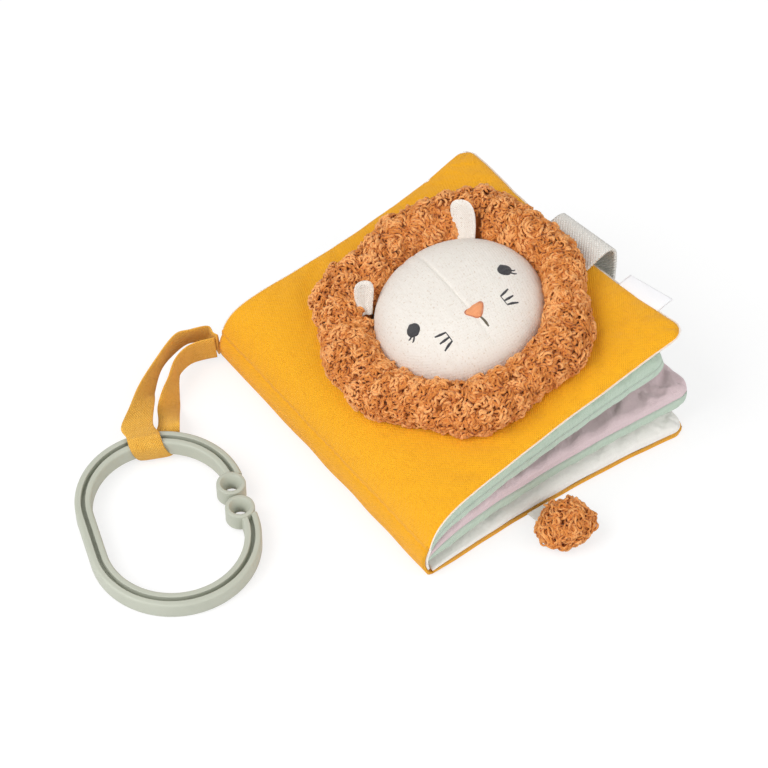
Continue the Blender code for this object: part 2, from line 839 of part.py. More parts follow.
def eyelet(name, centre, carrier):
    """A short tube with a bore, which joins an end of the ring's bar."""
    inner = EYELET_BORE / 2
    outer = EYELET_DIAMETER / 2
    low = carrier["place"][2] - BAR_HEIGHT / 2
    high = low + EYELET_HEIGHT
    sections = []
    for k in range(EYELET_SEGMENTS):
        turn = 2 * math.pi * k / EYELET_SEGMENTS
        ring = []
        for radius, height in ((inner, low), (outer, low), (outer, high), (inner, high)):
            flat = centre + Vector((math.cos(turn), math.sin(turn))) * radius
            ring.append((flat.x, flat.y, height))
        sections.append(ring)
    made = add_solid(name, *sweep(sections, closed=True), (SAGE, 0.35), carrier)
    made.hide_render = True
    made.display_type = "WIRE"
    return made


def build_ring(carrier, tilt, along):
    """The link ring: a grooved bar whose ends are two eyelets, tilted over the loop."""
    path, middle, long_axis, out = ring_path()
    level = carrier["place"][2]
    sections = []
    for point, normal in path:
        ring = []
        for across, up in bar_section():
            flat = point + normal * across
            ring.append((flat.x, flat.y, level + up))
        sections.append(ring)
    ring = add_solid("link_ring", *sweep(sections), (SAGE, 0.35), carrier)
    inset = RING_RADIUS - EYELET_INSET
    for number, side in (("one", 1), ("two", -1)):
        centre = middle + out * inset + long_axis * (side * EYELET_PITCH / 2)
        ends = eyelet("ring_eyelet_" + number, centre, carrier)
        join = ring.modifiers.new("join_eyelet_" + number, "BOOLEAN")
        join.operation = "UNION"
        join.object = ends
        ends.matrix_basis = Matrix.Rotation(tilt, 4, along)
    ring.matrix_basis = Matrix.Rotation(tilt, 4, along)


def ring_seat():
    """Where the loop holds the ring: the bar's axis point, its outward and long directions."""
    head = Vector(RING_HEAD_CENTRE)
    out = Vector((math.cos(LOOP_AT_RING), math.sin(LOOP_AT_RING)))
    along = Vector((out.y, -out.x))
    flat = head + out * RING_RADIUS
    height = LOOP_INNER_RADIUS + LOOP_THICKNESS
    return Vector((flat.x, flat.y, height)), out, along


def ring_tilt():
    """How far the ring leans: the loop lifts its bar, and its far side touches the table."""
    seat, out, _ = ring_seat()
    tail = Vector(RING_TAIL_CENTRE)
    far = (Vector(seat.xy) - tail).dot(out) + RING_RADIUS + BAR_WIDTH / 2
    return math.asin((seat.z - BAR_HEIGHT / 2) / far)


def loop_stations():
    """Centres and width directions of the loop's band, from its root round the bar and back."""
    outer_shares = (
        (0.0, 0.065, 0.69, 0.0),
        (-0.01, 0.4, 0.76, 0.02),
        (0.08, 0.8, 0.92, 0.04),
        (0.22, 1.0, 1.0, 0.1),
        (0.42, 0.95, 1.0, 0.3),
        (0.62, 0.8, 0.98, 0.5),
        (0.78, 0.58, 0.96, 0.75),
        (0.9, 0.3, 0.93, 0.93),
    )
    inner_shares = (
        (0.86, 0.45, 0.36, 0.93),
        (0.72, 0.4, 0.42, 0.75),
        (0.56, 0.42, 0.47, 0.58),
        (0.4, 0.52, 0.54, 0.43),
        (0.25, 0.64, 0.6, 0.2),
        (0.1, 0.5, 0.64, 0.06),
        (0.0, -0.065, 0.69, 0.0),
    )
    seat, out, along = ring_seat()
    root = Vector((LOOP_ROOT_X, COVER_HALF + GAP + LOOP_THICKNESS + GAP))
    run = Vector(seat.xy) - root
    side = Vector((run.y, -run.x)).normalized()
    if side.y < 0:
        side = -side

    def leg(shares):
        stations = []
        for forward, sideways, up, twist in shares:
            flat = root + run * forward + side * LOOP_BULGE * sideways
            turn = twist * math.pi / 2
            width = Vector((-along.x * math.sin(turn), -along.y * math.sin(turn), math.cos(turn)))
            stations.append((Vector((flat.x, flat.y, LOOP_CREST * up)), width))
        return stations

    wrap = []
    flat_along = Vector((-along.x, -along.y, 0.0))
    radius = LOOP_INNER_RADIUS + LOOP_THICKNESS / 2
    for k in range(LOOP_WRAP_STEPS + 1):
        turn = LOOP_WRAP_START + (LOOP_WRAP_END - LOOP_WRAP_START) * k / LOOP_WRAP_STEPS
        reach = Vector((out.x * math.cos(turn), out.y * math.cos(turn), math.sin(turn)))
        wrap.append((seat + reach * radius, flat_along))
    return leg(outer_shares) + wrap + leg(inner_shares)


def build_loop(carrier):
    """The doubled band of cloth that ties the ring to the spine."""
    stations = loop_stations()
    rings = []
    last = len(stations) - 1
    for k, (centre, width) in enumerate(stations):
        run = (stations[min(k + 1, last)][0] - stations[max(k - 1, 0)][0]).normalized()
        if k in (0, last):
            run = Vector((-1.0, 0.0, 0.0)) if k == 0 else Vector((1.0, 0.0, 0.0))
        thick = run.cross(width).normalized() * LOOP_THICKNESS / 2
        wide = thick.cross(run).normalized() * LOOP_WIDTH / 2
        if wide.dot(width) < 0:
            wide = -wide
        ring = [
            centre + wide + thick,
            centre + wide - thick,
            centre - wide - thick,
            centre - wide + thick,
        ]
        rings.append(ring)
    add_solid("ring_loop", *sweep(rings), (MUSTARD, 0.9), carrier)


def tail_hinge():
    """The tail's hinge in the tail-edge seam of the back cover."""
    _, edge = BACK.outline(TAIL_X - BACK_START, -COVER_HALF)
    return Vector((TAIL_X, edge, TAIL_STEM_HEIGHT))


def build_tail(carrier):
    """The tail: a flat stem, pinched where the seam holds it, and a fleece tip on the table."""
    hinge = tail_hinge()
    half = TAIL_STEM_WIDTH / 2
    stations = (
        (TAIL_STEM_ROOT, TAIL_STEM_PINCH / 2),
        (TAIL_STEM_FULL, TAIL_STEM_THICKNESS / 2),
        (TAIL_STEM_LENGTH, TAIL_STEM_THICKNESS / 2),
    )
    rings = []
    for along, thick in stations:
        y = hinge.y - along
        rings.append([
            (TAIL_X - half, y, hinge.z - thick),
            (TAIL_X + half, y, hinge.z - thick),
            (TAIL_X + half, y, hinge.z + thick),
            (TAIL_X - half, y, hinge.z + thick),
        ])
    add_solid("tail_stem", *sweep(rings), (CREAM, 0.85), carrier, smooth=False)

    level_shares = (0.0, 0.12, 0.32, 0.56, 0.8, 0.95)
    centre_y = hinge.y - TAIL_TIP_AWAY
    bottom = -TAIL_TIP_FLAT
    rings = []
    for share in level_shares:
        height = max(0.0, bottom + TAIL_TIP_HEIGHT * share)
        round_share = math.sin(math.acos(1 - 2 * max(share, TAIL_TIP_FOOT_SHARE)))
        ring = []
        for k in range(TAIL_TIP_SEGMENTS):
            turn = 2 * math.pi * k / TAIL_TIP_SEGMENTS
            lump = TAIL_TIP_LUMP * math.cos(TAIL_TIP_LUMPS * turn)
            x = TAIL_X + (TAIL_TIP_HALF_WIDTH * round_share + lump) * math.cos(turn)
            y = centre_y + (TAIL_TIP_HALF_LENGTH * round_share + lump) * math.sin(turn)
            ring.append((x, y, height))
        rings.append(ring)
    add_solid("tail_tip", *sweep(rings), (CARAMEL, 0.95), carrier)


def fold_place(height):
    """A fold's axis, on the spine's outer face."""
    return (spine_face(height), 0.0, height)


def build_book():
    """Every body's pivot, then every piece on it."""
    back = pivot("back_cover_body", (0.0, 0.0, 0.0))
    leaf_2 = pivot("leaf_2_fold", fold_place(FOLD_BACK), back)
    leaf_1 = pivot("leaf_1_fold", fold_place(FOLD_MIDDLE), leaf_2)
    front = pivot("front_cover_fold", fold_place(FOLD_FRONT), leaf_1)

    mustard = (MUSTARD, 0.9)
    cream = (CREAM, 0.8)
    mint = (MINT, 0.8)
    pink = (PINK, 0.8)
    BACK.build("back", "back_lining", "back_outer_cloth", cream, mustard, back)
    LEAF_2.build("leaf_2", "leaf_2_front_cloth", "leaf_2_back_cloth", pink, mint, leaf_2)
    LEAF_1.build("leaf_1", "leaf_1_front_cloth", "leaf_1_back_cloth", mint, mint, leaf_1)
    FRONT.build("front", "front_outer_cloth", "front_lining", mustard, cream, front)
    build_spine((("back", back), ("leaf_2", leaf_2), ("leaf_1", leaf_1), ("front", front)))

    build_face(front)
    build_mane(front)
    build_ear("ear_left", EAR_LEFT, front)
    build_ear("ear_right", EAR_RIGHT, front)
    build_features(front)

    sewn, hanging, bend = strap_route()
    flap = pivot("strap_fold", (bend[0], STRAP_OFFSET, bend[1]), front)
    build_strap(front, flap, sewn, hanging)
    u, n = tag_hinge()
    tag = pivot("tag_fold", FRONT.place(u, TAG_OFFSET, n), front)
    build_tag(tag)

    loop = pivot("loop_root", (LOOP_ROOT_X, COVER_HALF + GAP, LOOP_ROOT_HEIGHT), back)
    build_loop(loop)
    seat, _, along = ring_seat()
    ring = pivot("ring_axis", seat, loop)
    build_ring(ring, ring_tilt(), Vector((along.x, along.y, 0.0)))
    tail = pivot("tail_fold", tail_hinge(), back)
    build_tail(tail)


clear_scene()
build_book()
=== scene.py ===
import math

import bpy
import numpy as np
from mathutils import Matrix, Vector


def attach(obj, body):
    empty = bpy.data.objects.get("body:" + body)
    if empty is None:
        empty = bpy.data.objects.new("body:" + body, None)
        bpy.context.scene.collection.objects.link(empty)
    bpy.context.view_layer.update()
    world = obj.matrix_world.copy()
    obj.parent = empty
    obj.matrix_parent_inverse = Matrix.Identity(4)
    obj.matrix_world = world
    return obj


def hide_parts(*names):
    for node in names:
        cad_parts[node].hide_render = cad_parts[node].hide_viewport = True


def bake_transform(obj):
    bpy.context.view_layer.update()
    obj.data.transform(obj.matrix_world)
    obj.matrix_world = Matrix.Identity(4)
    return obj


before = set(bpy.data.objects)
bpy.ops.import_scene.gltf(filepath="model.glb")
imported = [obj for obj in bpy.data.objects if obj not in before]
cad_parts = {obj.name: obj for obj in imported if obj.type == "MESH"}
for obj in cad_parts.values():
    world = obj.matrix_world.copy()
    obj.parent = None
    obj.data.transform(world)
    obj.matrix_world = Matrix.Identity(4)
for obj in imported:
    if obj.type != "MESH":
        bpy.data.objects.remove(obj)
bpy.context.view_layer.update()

# The camera looks down at the book from in front of its spine's tail end, through a long
# lens. The picture is square.
camera = bpy.data.objects.new("camera", bpy.data.cameras.new("camera"))
bpy.context.scene.collection.objects.link(camera)
camera.location = (-0.4468, -0.5703, 0.7722)
camera_aim = Vector((-0.0303, 0.0094, 0.02)) - camera.location
camera.rotation_mode = "QUATERNION"
camera.rotation_quaternion = camera_aim.to_track_quat("-Z", "Y")
camera.data.sensor_width = 36.0
camera.data.lens = 112.5
bpy.context.scene.camera = camera


# The back cover: two cloths sewn round their edges over wadding and crinkle film, cream
# cotton above and mustard linen weave below. It lies flat on the table, and its seams
# pucker the cloth where the sewing machine has gathered it.
def dye(red, green, blue):
    """Linear colour of a dye from the 0 to 255 values that a screen shows for it.

    Each value c becomes ((c/255 + 0.055) / 1.055)^2.4.
    """
    return tuple(((value / 255 + 0.055) / 1.055) ** 2.4 for value in (red, green, blue))


def shading(tree, kind, inputs=(), **settings):
    """A shader node with its settings, and for each input a value or another node's socket."""
    made = tree.nodes.new("ShaderNode" + kind)
    for key, value in settings.items():
        setattr(made, key, value)
    for key, value in dict(inputs).items():
        if isinstance(value, bpy.types.NodeSocket):
            tree.links.new(value, made.inputs[key])
        else:
            made.inputs[key].default_value = value
    return made


def mixed(tree, share, first, second):
    """The colour that is a share of the way from the first to the second."""
    from_colour, to_colour, mixed_colour = 6, 7, 2
    values = {"Factor": share}
    for key, colour in ((from_colour, first), (to_colour, second)):
        is_socket = isinstance(colour, bpy.types.NodeSocket)
        values[key] = colour if is_socket else (*colour, 1.0)
    return shading(tree, "Mix", values, data_type="RGBA").outputs[mixed_colour]


def number(tree, operation, first, second=0.0, third=0.0):
    """A sum, product or other plain operation on numbers or sockets."""
    made = shading(tree, "Math", {0: first, 1: second, 2: third}, operation=operation)
    return made.outputs[0]


def millimetres(tree, by_cut, stretch=(1.0, 1.0, 1.0)):
    """Coordinates in millimetres, along the cloth's own cut or through the object."""
    place = shading(tree, "TexCoord")
    scale = tuple(1000.0 * share for share in stretch)
    vector = place.outputs["UV" if by_cut else "Object"]
    return shading(tree, "Mapping", {"Vector": vector, "Scale": scale}).outputs[0]


def blotches(tree, vector, size, detail=2.0, roughness=0.5):
    """Soft random blotches of a size in millimetres, from 0 to 1."""
    values = {"Vector": vector, "Scale": 1 / size, "Detail": detail, "Roughness": roughness}
    return shading(tree, "TexNoise", values).outputs[0]


def spread(tree, value, low, high):
    """The value carried from a range to 0 to 1, smoothly, and held at its ends."""
    values = {0: value, 1: low, 2: high}
    return shading(tree, "MapRange", values, interpolation_type="SMOOTHSTEP").outputs[0]


def new_look(name, finish):
    """A fresh material with its node tree and its shader.

    The finish is the numbers that are the same all over, on the shader's own sockets.
    """
    look = bpy.data.materials.new(name)
    look.use_nodes = True
    skin = look.node_tree.nodes["Principled BSDF"]
    for key, value in finish.items():
        skin.inputs[key].default_value = value
    return look, look.node_tree, skin


def dress(tree, skin, colour, height, distance, strength=1.0):
    """Give the shader its colour, and a height whose 1 stands for a distance in metres."""
    tree.links.new(colour, skin.inputs["Base Color"])
    values = {"Height": height, "Strength": strength, "Distance": distance}
    tree.links.new(shading(tree, "Bump", values).outputs[0], skin.inputs["Normal"])


def cloth_look(name, ground, streak, fleck, pitch, streaks=0.4, flecks=0.2, bump=0.12,
               sheen=0.15, by_cut=True, mottle=5.0):
    """Woven cloth: a ground colour with long slubs in both thread directions and flecks.

    The weave's height is sin(pi·u/pitch)·sin(pi·v/pitch), plus 2.2 times the slubs' own
    height and 1.5 times that of a mottle. pitch, bump and mottle are in millimetres.
    """
    look, tree, skin = new_look(name, {
        "Roughness": 0.85, "Sheen Weight": sheen, "Sheen Roughness": 0.5,
        "Specular IOR Level": 0.25,
    })
    plain = millimetres(tree, by_cut)
    drawn_out = 0.14
    along, across = (
        blotches(tree, millimetres(tree, by_cut, stretch), pitch * 1.5, 3.0, 0.65)
        for stretch in ((drawn_out, 1.0, 1.0), (1.0, drawn_out, 1.0))
    )
    slub = number(tree, "MAXIMUM", along, across)
    cloud = blotches(tree, plain, mottle, 3.0, 0.6)
    speck = spread(tree, blotches(tree, plain, pitch * 2.2, 1.0), 0.62, 0.72)
    shade = number(tree, "MULTIPLY", spread(tree, slub, 0.5, 0.72), streaks)
    shade = number(tree, "ADD", shade, number(tree, "MULTIPLY", cloud, streaks * 0.7))
    colour = mixed(tree, shade, ground, streak)
    colour = mixed(tree, number(tree, "MULTIPLY", speck, flecks), colour, fleck)
    parts = shading(tree, "SeparateXYZ", {0: plain})
    turn = math.pi / pitch
    warp = number(tree, "SINE", number(tree, "MULTIPLY", parts.outputs[0], turn))
    weft = number(tree, "SINE", number(tree, "MULTIPLY", parts.outputs[1], turn))
    height = number(tree, "MULTIPLY_ADD", slub, 2.2, number(tree, "MULTIPLY", warp, weft))
    height = number(tree, "ADD", height, number(tree, "MULTIPLY", cloud, 1.5))
    dress(tree, skin, colour, height, bump * 0.001)
    return look


def film_look(name, colour):
    """Thin crinkled film: bright, with creases where rough noise is high."""
    look, tree, skin = new_look(name, {"Roughness": 0.25})
    creases = blotches(tree, millimetres(tree, False), 6.0, 4.0, 0.7)
    dress(tree, skin, mixed(tree, creases, colour, (1.0, 1.0, 1.0)), creases, 0.002, 0.8)
    return look


def wadding_look(name, colour, size):
    """Loose fibre: pale, dull and cloudy."""
    look, tree, skin = new_look(name, {"Roughness": 0.95})
    cloud = blotches(tree, millimetres(tree, False), size, 6.0, 0.8)
    darker = tuple(0.75 * value for value in colour)
    dress(tree, skin, mixed(tree, cloud, darker, colour), cloud, 0.001, 0.6)
    return look


def make_piece(name, points, faces, look, cut=None, shade=None):
    """A piece as a mesh at the origin, with smooth shading.

    cut is each point's place on the flat cloth in metres, and shade its painted shade and tone,
    0 to 1.
    """
    mesh = bpy.data.meshes.new(name)
    mesh.from_pydata(np.asarray(points, float).tolist(), [], faces)
    mesh.polygons.foreach_set("use_smooth", np.ones(len(mesh.polygons), bool))
    corners = np.empty(len(mesh.loops), np.int32)
    mesh.loops.foreach_get("vertex_index", corners)
    if cut is not None:
        layer = mesh.uv_layers.new(name="cut")
        layer.data.foreach_set("uv", np.asarray(cut, np.float32)[corners].ravel())
    if shade is not None:
        tint = mesh.attributes.new("shade", "FLOAT", "POINT")
        tint.data.foreach_set("value", np.asarray(shade, np.float32))
    mesh.materials.append(look)
    piece = bpy.data.objects.new(name, mesh)
    bpy.context.scene.collection.objects.link(piece)
    return piece


def grid_faces(rows, columns):
    """Quads between the neighbours of a grid whose points are listed row after row."""
    corner = np.arange((rows - 1) * columns).reshape(rows - 1, columns)[:, :-1].ravel()
    return np.stack([corner, corner + columns, corner + columns + 1, corner + 1], 1)


def softened(field, passes, rows=True, columns=True):
    """The field after passes of a (1, 2, 1)/4 average along its rows, columns or both."""
    for _ in range(passes):
        if rows:
            wide = np.pad(field, ((1, 1), (0, 0)), mode="edge")
            field = (wide[:-2] + 2 * field + wide[2:]) / 4
        if columns:
            wide = np.pad(field, ((0, 0), (1, 1)), mode="edge")
            field = (wide[:, :-2] + 2 * field + wide[:, 2:]) / 4
    return field


def edge_roll(distance, width):
    """A quarter ellipse from 0 on the seam to 1 at a width from it."""
    share = np.clip(distance / width, 0, 1)
    return np.sqrt(np.clip(1 - (1 - share) ** 2, 0, 1))


def settle(name, points, faces, held, pressure, slack, bend, frames=20):
    """The points after a cloth simulation: filled by pressure, cut too large by slack.

    The points that are held stay where the seam holds them. The cloth is run ten times
    its size, because the solver is tuned for garments.
    """
    enlarged = 10.0
    mesh = bpy.data.meshes.new(name)
    mesh.from_pydata((points * enlarged).tolist(), [], faces)
    cloth = bpy.data.objects.new(name, mesh)
    bpy.context.scene.collection.objects.link(cloth)
    seam = cloth.vertex_groups.new(name="seam")
    seam.add(np.nonzero(held)[0].tolist(), 1.0, "REPLACE")
    run = cloth.modifiers.new("cloth", "CLOTH")
    fabric = run.settings
    fabric.quality = 4
    fabric.mass = 0.3
    fabric.tension_stiffness = 15
    fabric.compression_stiffness = 15
    fabric.shear_stiffness = 5
    fabric.bending_stiffness = bend
    fabric.bending_damping = 0.5
    fabric.use_pressure = True
    fabric.uniform_pressure_force = pressure
    fabric.effector_weights.gravity = 0
    fabric.vertex_group_mass = "seam"
    fabric.shrink_min = -slack
    run.collision_settings.use_collision = False
    run.point_cache.frame_start = 1
    run.point_cache.frame_end = frames
    for frame_number in range(1, frames + 1):
        bpy.context.scene.frame_set(frame_number)
    filled = cloth.evaluated_get(bpy.context.evaluated_depsgraph_get())
    settled = np.empty(len(points) * 3)
    filled.data.vertices.foreach_get("co", settled)
    bpy.data.objects.remove(cloth)
    bpy.data.meshes.remove(mesh)
    bpy.context.scene.frame_set(1)
    return settled.reshape(-1, 3) / enlarged


def seam_puckers(panel, seed, pressure=1.0, slack=0.05, bend=0.5):
    """Heights of the puckers in a panel's upper and lower cloth, on an even grid.

    Two flat cloths that share their rim are filled by simulation. The puckers are what is
    left of each height after its average along the nearest seam is taken away.
    """
    rows, columns = 76, 84
    along = np.linspace(0, panel["reach"], rows)
    sideways = np.linspace(-panel["half"], panel["half"], columns)
    u, v = np.meshgrid(along, sideways, indexing="ij")
    soft, plump, jitter, calm = 0.014, 0.004, 0.00004, 26
    height = plump * edge_roll(panel["half"] - np.abs(v), soft)
    height = height * edge_roll(panel["reach"] - u, soft) * edge_roll(u, soft)
    rim = np.zeros((rows, columns), bool)
    rim[[0, -1]] = True
    rim[:, [0, -1]] = True
    uneven = np.random.default_rng(seed).normal(0, jitter, (2, rows, columns))
    uneven = np.where(rim, 0, uneven)
    upper = np.stack([u, v, height + uneven[0]], -1).reshape(-1, 3)
    lower = np.stack([u, v, uneven[1] - height], -1)[~rim]
    shared = np.arange(rows * columns).reshape(rows, columns)
    shared[~rim] = rows * columns + np.arange(len(lower))
    upper_faces = grid_faces(rows, columns)
    lower_faces = shared.ravel()[upper_faces][:, ::-1]
    faces = np.concatenate([upper_faces, lower_faces]).tolist()
    points = np.concatenate([upper, lower])
    held = np.zeros(len(points), bool)
    held[: rows * columns] = rim.ravel()
    filled = settle("filled_panel", points, faces, held, pressure, slack, bend)
    near_side = (panel["half"] - np.abs(v)) ** 2 + 1e-9
    near_edge = (panel["reach"] - u) ** 2 + 1e-9
    puckers = []
    for layer in (filled[: rows * columns, 2], filled[shared.ravel(), 2]):
        layer = layer.reshape(rows, columns)
        by_side = layer - softened(layer, calm, columns=False)
        by_edge = layer - softened(layer, calm, rows=False)
        puckers.append((by_side * near_edge + by_edge * near_side) / (near_edge + near_side))
    return puckers


def sampled(field, share_u, share_v):
    """The field between its grid points, by straight lines along rows and columns."""
    row = share_u * (field.shape[0] - 1)
    column = share_v * (field.shape[1] - 1)
    low_row = np.clip(row.astype(int), 0, field.shape[0] - 2)
    low_column = np.clip(column.astype(int), 0, field.shape[1] - 2)
    over = row - low_row
    beside = column - low_column
    near = field[low_row, low_column] * (1 - beside) + field[low_row, low_column + 1] * beside
    far = field[low_row + 1, low_column] * (1 - beside)
    far = far + field[low_row + 1, low_column + 1] * beside
    return near * (1 - over) + far * over


def slow_waves(u, v, seed, shortest, longest, count=7):
    """Gentle unevenness from -1 to 1: a sum of count sine waves in random directions."""
    dice = np.random.default_rng(seed)
    total = np.zeros(np.broadcast(u, v).shape)
    for _ in range(count):
        heading = dice.uniform(0, math.tau)
        turn = math.tau / dice.uniform(shortest, longest)
        phase = dice.uniform(0, math.tau)
        total += np.sin(turn * (u * math.cos(heading) + v * math.sin(heading)) + phase)
    return total / count


def on_panel(panel, u, v, n):
    """World places on a padded panel: u from the spine, v along it, n square to the cloth.

    With s = u/reach the middle stands crown·(1 − exp(−s/spring))·(1 − s)^fall off its
    chord, so that it springs up at the spine, and the chord leans by lie.
    """
    share = u / panel["reach"]
    ahead = np.maximum(1 - share, 0)
    left = np.exp(-share / panel["spring"])
    climb = left / panel["spring"] * ahead ** panel["fall"]
    drop = (1 - left) * panel["fall"] * ahead ** (panel["fall"] - 1)
    slope = np.arctan(panel["crown"] / panel["reach"] * (climb - drop))
    out = panel["crown"] * (1 - left) * ahead ** panel["fall"] + n * np.cos(slope)
    along = u - n * np.sin(slope)
    lie = panel["lie"]
    x = panel["x"] + along * math.cos(lie) - out * math.sin(lie)
    z = panel["z"] + along * math.sin(lie) + out * math.cos(lie)
    return np.stack(np.broadcast_arrays(x, v, z), -1)


def cut_shape(panel, u, v):
    """The panel's outline: round fore corners, and sides drawn in between the corners.

    In a corner's square of side r the place (p, q) goes to (p, q)·max(p, q)/|(p, q)|. The
    fore-edge draws in by edge_draw·s²·(1 − t²), with s = u/reach and t = v/half, and the
    sides by side_draw·4·s·(1 − s). The head end, cut by hand, is off by far_side, a
    (root, tip): by root·(1 − s)² + tip·s along v and by tip·t⁴·s⁴ along u, for t over 0.
    """
    radius = 0.007
    p = np.clip((u - panel["reach"] + radius) / radius, 0, 1)
    q = np.clip((np.abs(v) - panel["half"] + radius) / radius, 0, 1)
    length = np.hypot(p, q)
    round_off = np.where(length > 0, np.maximum(p, q) / np.maximum(length, 1e-9), 1.0)
    u = u + radius * p * (round_off - 1)
    v = v + np.sign(v) * radius * q * (round_off - 1)
    s = u / panel["reach"]
    t = v / panel["half"]
    sides = 4 * s * (1 - s) * panel["side_draw"] / panel["half"]
    far = np.clip(t, 0, 1) ** 2
    root, tip = panel["far_side"]
    u = u - panel["edge_draw"] * s * s * (1 - t * t) + tip * far**2 * np.clip(s, 0, 1) ** 4
    return u, v * (1 - sides) + far * (root * np.clip(1 - s, 0, 1) ** 2 + tip * s)


def close_lines(length, count):
    """Places from 0 to length that crowd at both ends: s − 0.75·sin(2·pi·s)/(2·pi)."""
    share = np.linspace(0, 1, count)
    return length * (share - 0.75 * np.sin(math.tau * share) / math.tau)


def panel_cloth(panel, name, side, puckers, look, rise, soft_edge, gain=0.8,
                waves=0.0004, flat_under=False, proud=0.0, taper=0.1, rim=0.0014, bulge=0.0):
    """One cloth of a padded panel, with side 1 above the seam and -1 below it.

    Its height over the seam is rise·(u/taper)^0.75 times a quarter ellipse at each free
    edge, plus cap·tanh(gain·puckers/cap) and slow waves, all rolled down to the seam over
    the width of its rim. The rim stands proud of the other cloth's by a given length, and
    a padded side bulges past the seam by bulge·a·exp(1 − a), with a the distance from the
    seam over swell. The back of the cloth is closed by strips across it.
    """
    rows, columns = 145, 161
    seam, thinnest, cap, swell, rim_power = 0.00095, 0.0004, 0.0009, 0.0008, 60
    fade, spine_roll, under_taper, off_table = 0.04, 0.001, 0.012, 0.00002
    edge_waves, outline_waves, strip_rows, curved_edge = 0.0005, 0.0003, 4, 0.002
    along = close_lines(panel["reach"], rows)
    sideways = close_lines(2 * panel["half"], columns) - panel["half"]
    u, v = np.meshgrid(along, sideways, indexing="ij")
    to_side = panel["half"] - np.abs(v)
    to_edge = panel["reach"] - u
    taper = under_taper if flat_under else taper
    full = np.clip(u / taper, 0, 1) ** 0.75
    full = full * edge_roll(to_side, soft_edge) * edge_roll(to_edge, soft_edge)
    off_spine = np.clip(u / fade, 0, 1)
    roll = edge_roll(to_side, rim) * edge_roll(to_edge, rim) * edge_roll(u, spine_roll)
    crease = sampled(puckers, u / panel["reach"], (v / panel["half"] + 1) / 2) * side
    crease = cap * np.tanh(crease * gain / cap) * off_spine
    height = seam + rise * full + crease
    if not flat_under:
        height = height + waves * full * slow_waves(u, v, len(name), 0.03, 0.07)
    height = np.maximum(height, thinnest) * roll
    middle = 0.0
    if not flat_under:
        edge = 1 - edge_roll(np.minimum(to_side, to_edge), 0.03)
        middle = edge_waves * edge * slow_waves(u, v, panel["seed"], 0.025, 0.06)
        middle = middle * off_spine
    drawn_u, drawn_v = cut_shape(panel, u, v)
    drawn_u = drawn_u + proud * (u / panel["reach"]) ** rim_power
    drawn_v = drawn_v + proud * (v / panel["half"]) ** (rim_power + 1)
    drawn_u = drawn_u + bulge * to_edge / swell * np.exp(1 - to_edge / swell)
    drawn_v = drawn_v + bulge * np.sign(v) * to_side / swell * np.exp(1 - to_side / swell)
    wander = outline_waves * off_spine
    drawn_u = drawn_u + wander * slow_waves(u, v, panel["seed"] + 1, 0.012, 0.04)
    drawn_v = drawn_v + wander * slow_waves(u, v, panel["seed"] + 2, 0.012, 0.04)
    surface = on_panel(panel, drawn_u, drawn_v, middle + side * height)
    if flat_under:
        surface[..., 2] = np.maximum(surface[..., 2], off_table)
    faces = grid_faces(rows, columns)
    index = np.arange(rows * columns).reshape(rows, columns)
    # The closing strips are a few rows each, so that they stay flat where the panel bends.
    # Only the first and the last take in the points of the edge across the panel, and the
    # last is long enough to hold the drawn-in fore-edge.
    straight = int(
        np.searchsorted(along, panel["reach"] - panel["edge_draw"] - curved_edge)
    )
    stops = [*range(0, straight, strip_rows), rows - 1]
    closing = []
    for start, stop in zip(stops[:-1], stops[1:]):
        near = index[start : stop + 1]
        spine_edge = near[0, 1:-1] if start == 0 else near[0, :0]
        fore_edge = near[-1, -2:0:-1] if stop == rows - 1 else near[-1, :0]
        ring = np.concatenate([near[::-1, 0], spine_edge, near[:, -1], fore_edge])
        closing.append(ring[::-side].tolist())
    cut = np.stack([u, v], -1).reshape(-1, 2)
    faces = faces[:, ::side].tolist() + closing
    return make_piece(name, surface.reshape(-1, 3), faces, look, cut)


mustard_look = cloth_look(
    "mustard_cloth", dye(248, 178, 24), dye(228, 150, 12), dye(254, 192, 52), 0.55,
    streaks=0.36, flecks=0.25, bump=0.14, sheen=0.12,
)
cream_look = cloth_look(
    "cream_cloth", dye(250, 247, 242), dye(238, 233, 226), dye(254, 252, 249), 0.4,
    streaks=0.3, flecks=0.1, bump=0.07, sheen=0.1,
)
back_panel = dict(
    x=-0.0662, z=0.00255, reach=0.1375, half=0.075, lie=0.0, crown=0.0, spring=1.0, fall=1.0,
    side_draw=0.0034, edge_draw=0.003, far_side=(0.0038, 0.0), seed=11,
)
back_puckers = seam_puckers(back_panel, 21)
back_lining = panel_cloth(
    back_panel, "back_lining_padded", 1, back_puckers[0], cream_look, 0.006, 0.016,
    gain=0.9, bulge=0.0004,
)
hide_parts("back_lining")
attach(back_lining, "back_cover")
back_outer = panel_cloth(
    back_panel, "back_cover_padded", -1, back_puckers[1], mustard_look, 0.0016, 0.0008,
    gain=0.2, flat_under=True, proud=0.0004, rim=0.0004, bulge=0.0007,
)
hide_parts("back_outer_cloth")
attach(back_outer, "back_cover")
film = film_look("crinkle_film", dye(215, 218, 222))
fibre = wadding_look("wadding", dye(246, 246, 242), 2.0)
for panel_name in ("back", "leaf_2", "leaf_1", "front"):
    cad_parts[panel_name + "_crinkle_film"].data.materials[0] = film
    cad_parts[panel_name + "_wadding"].data.materials[0] = fibre


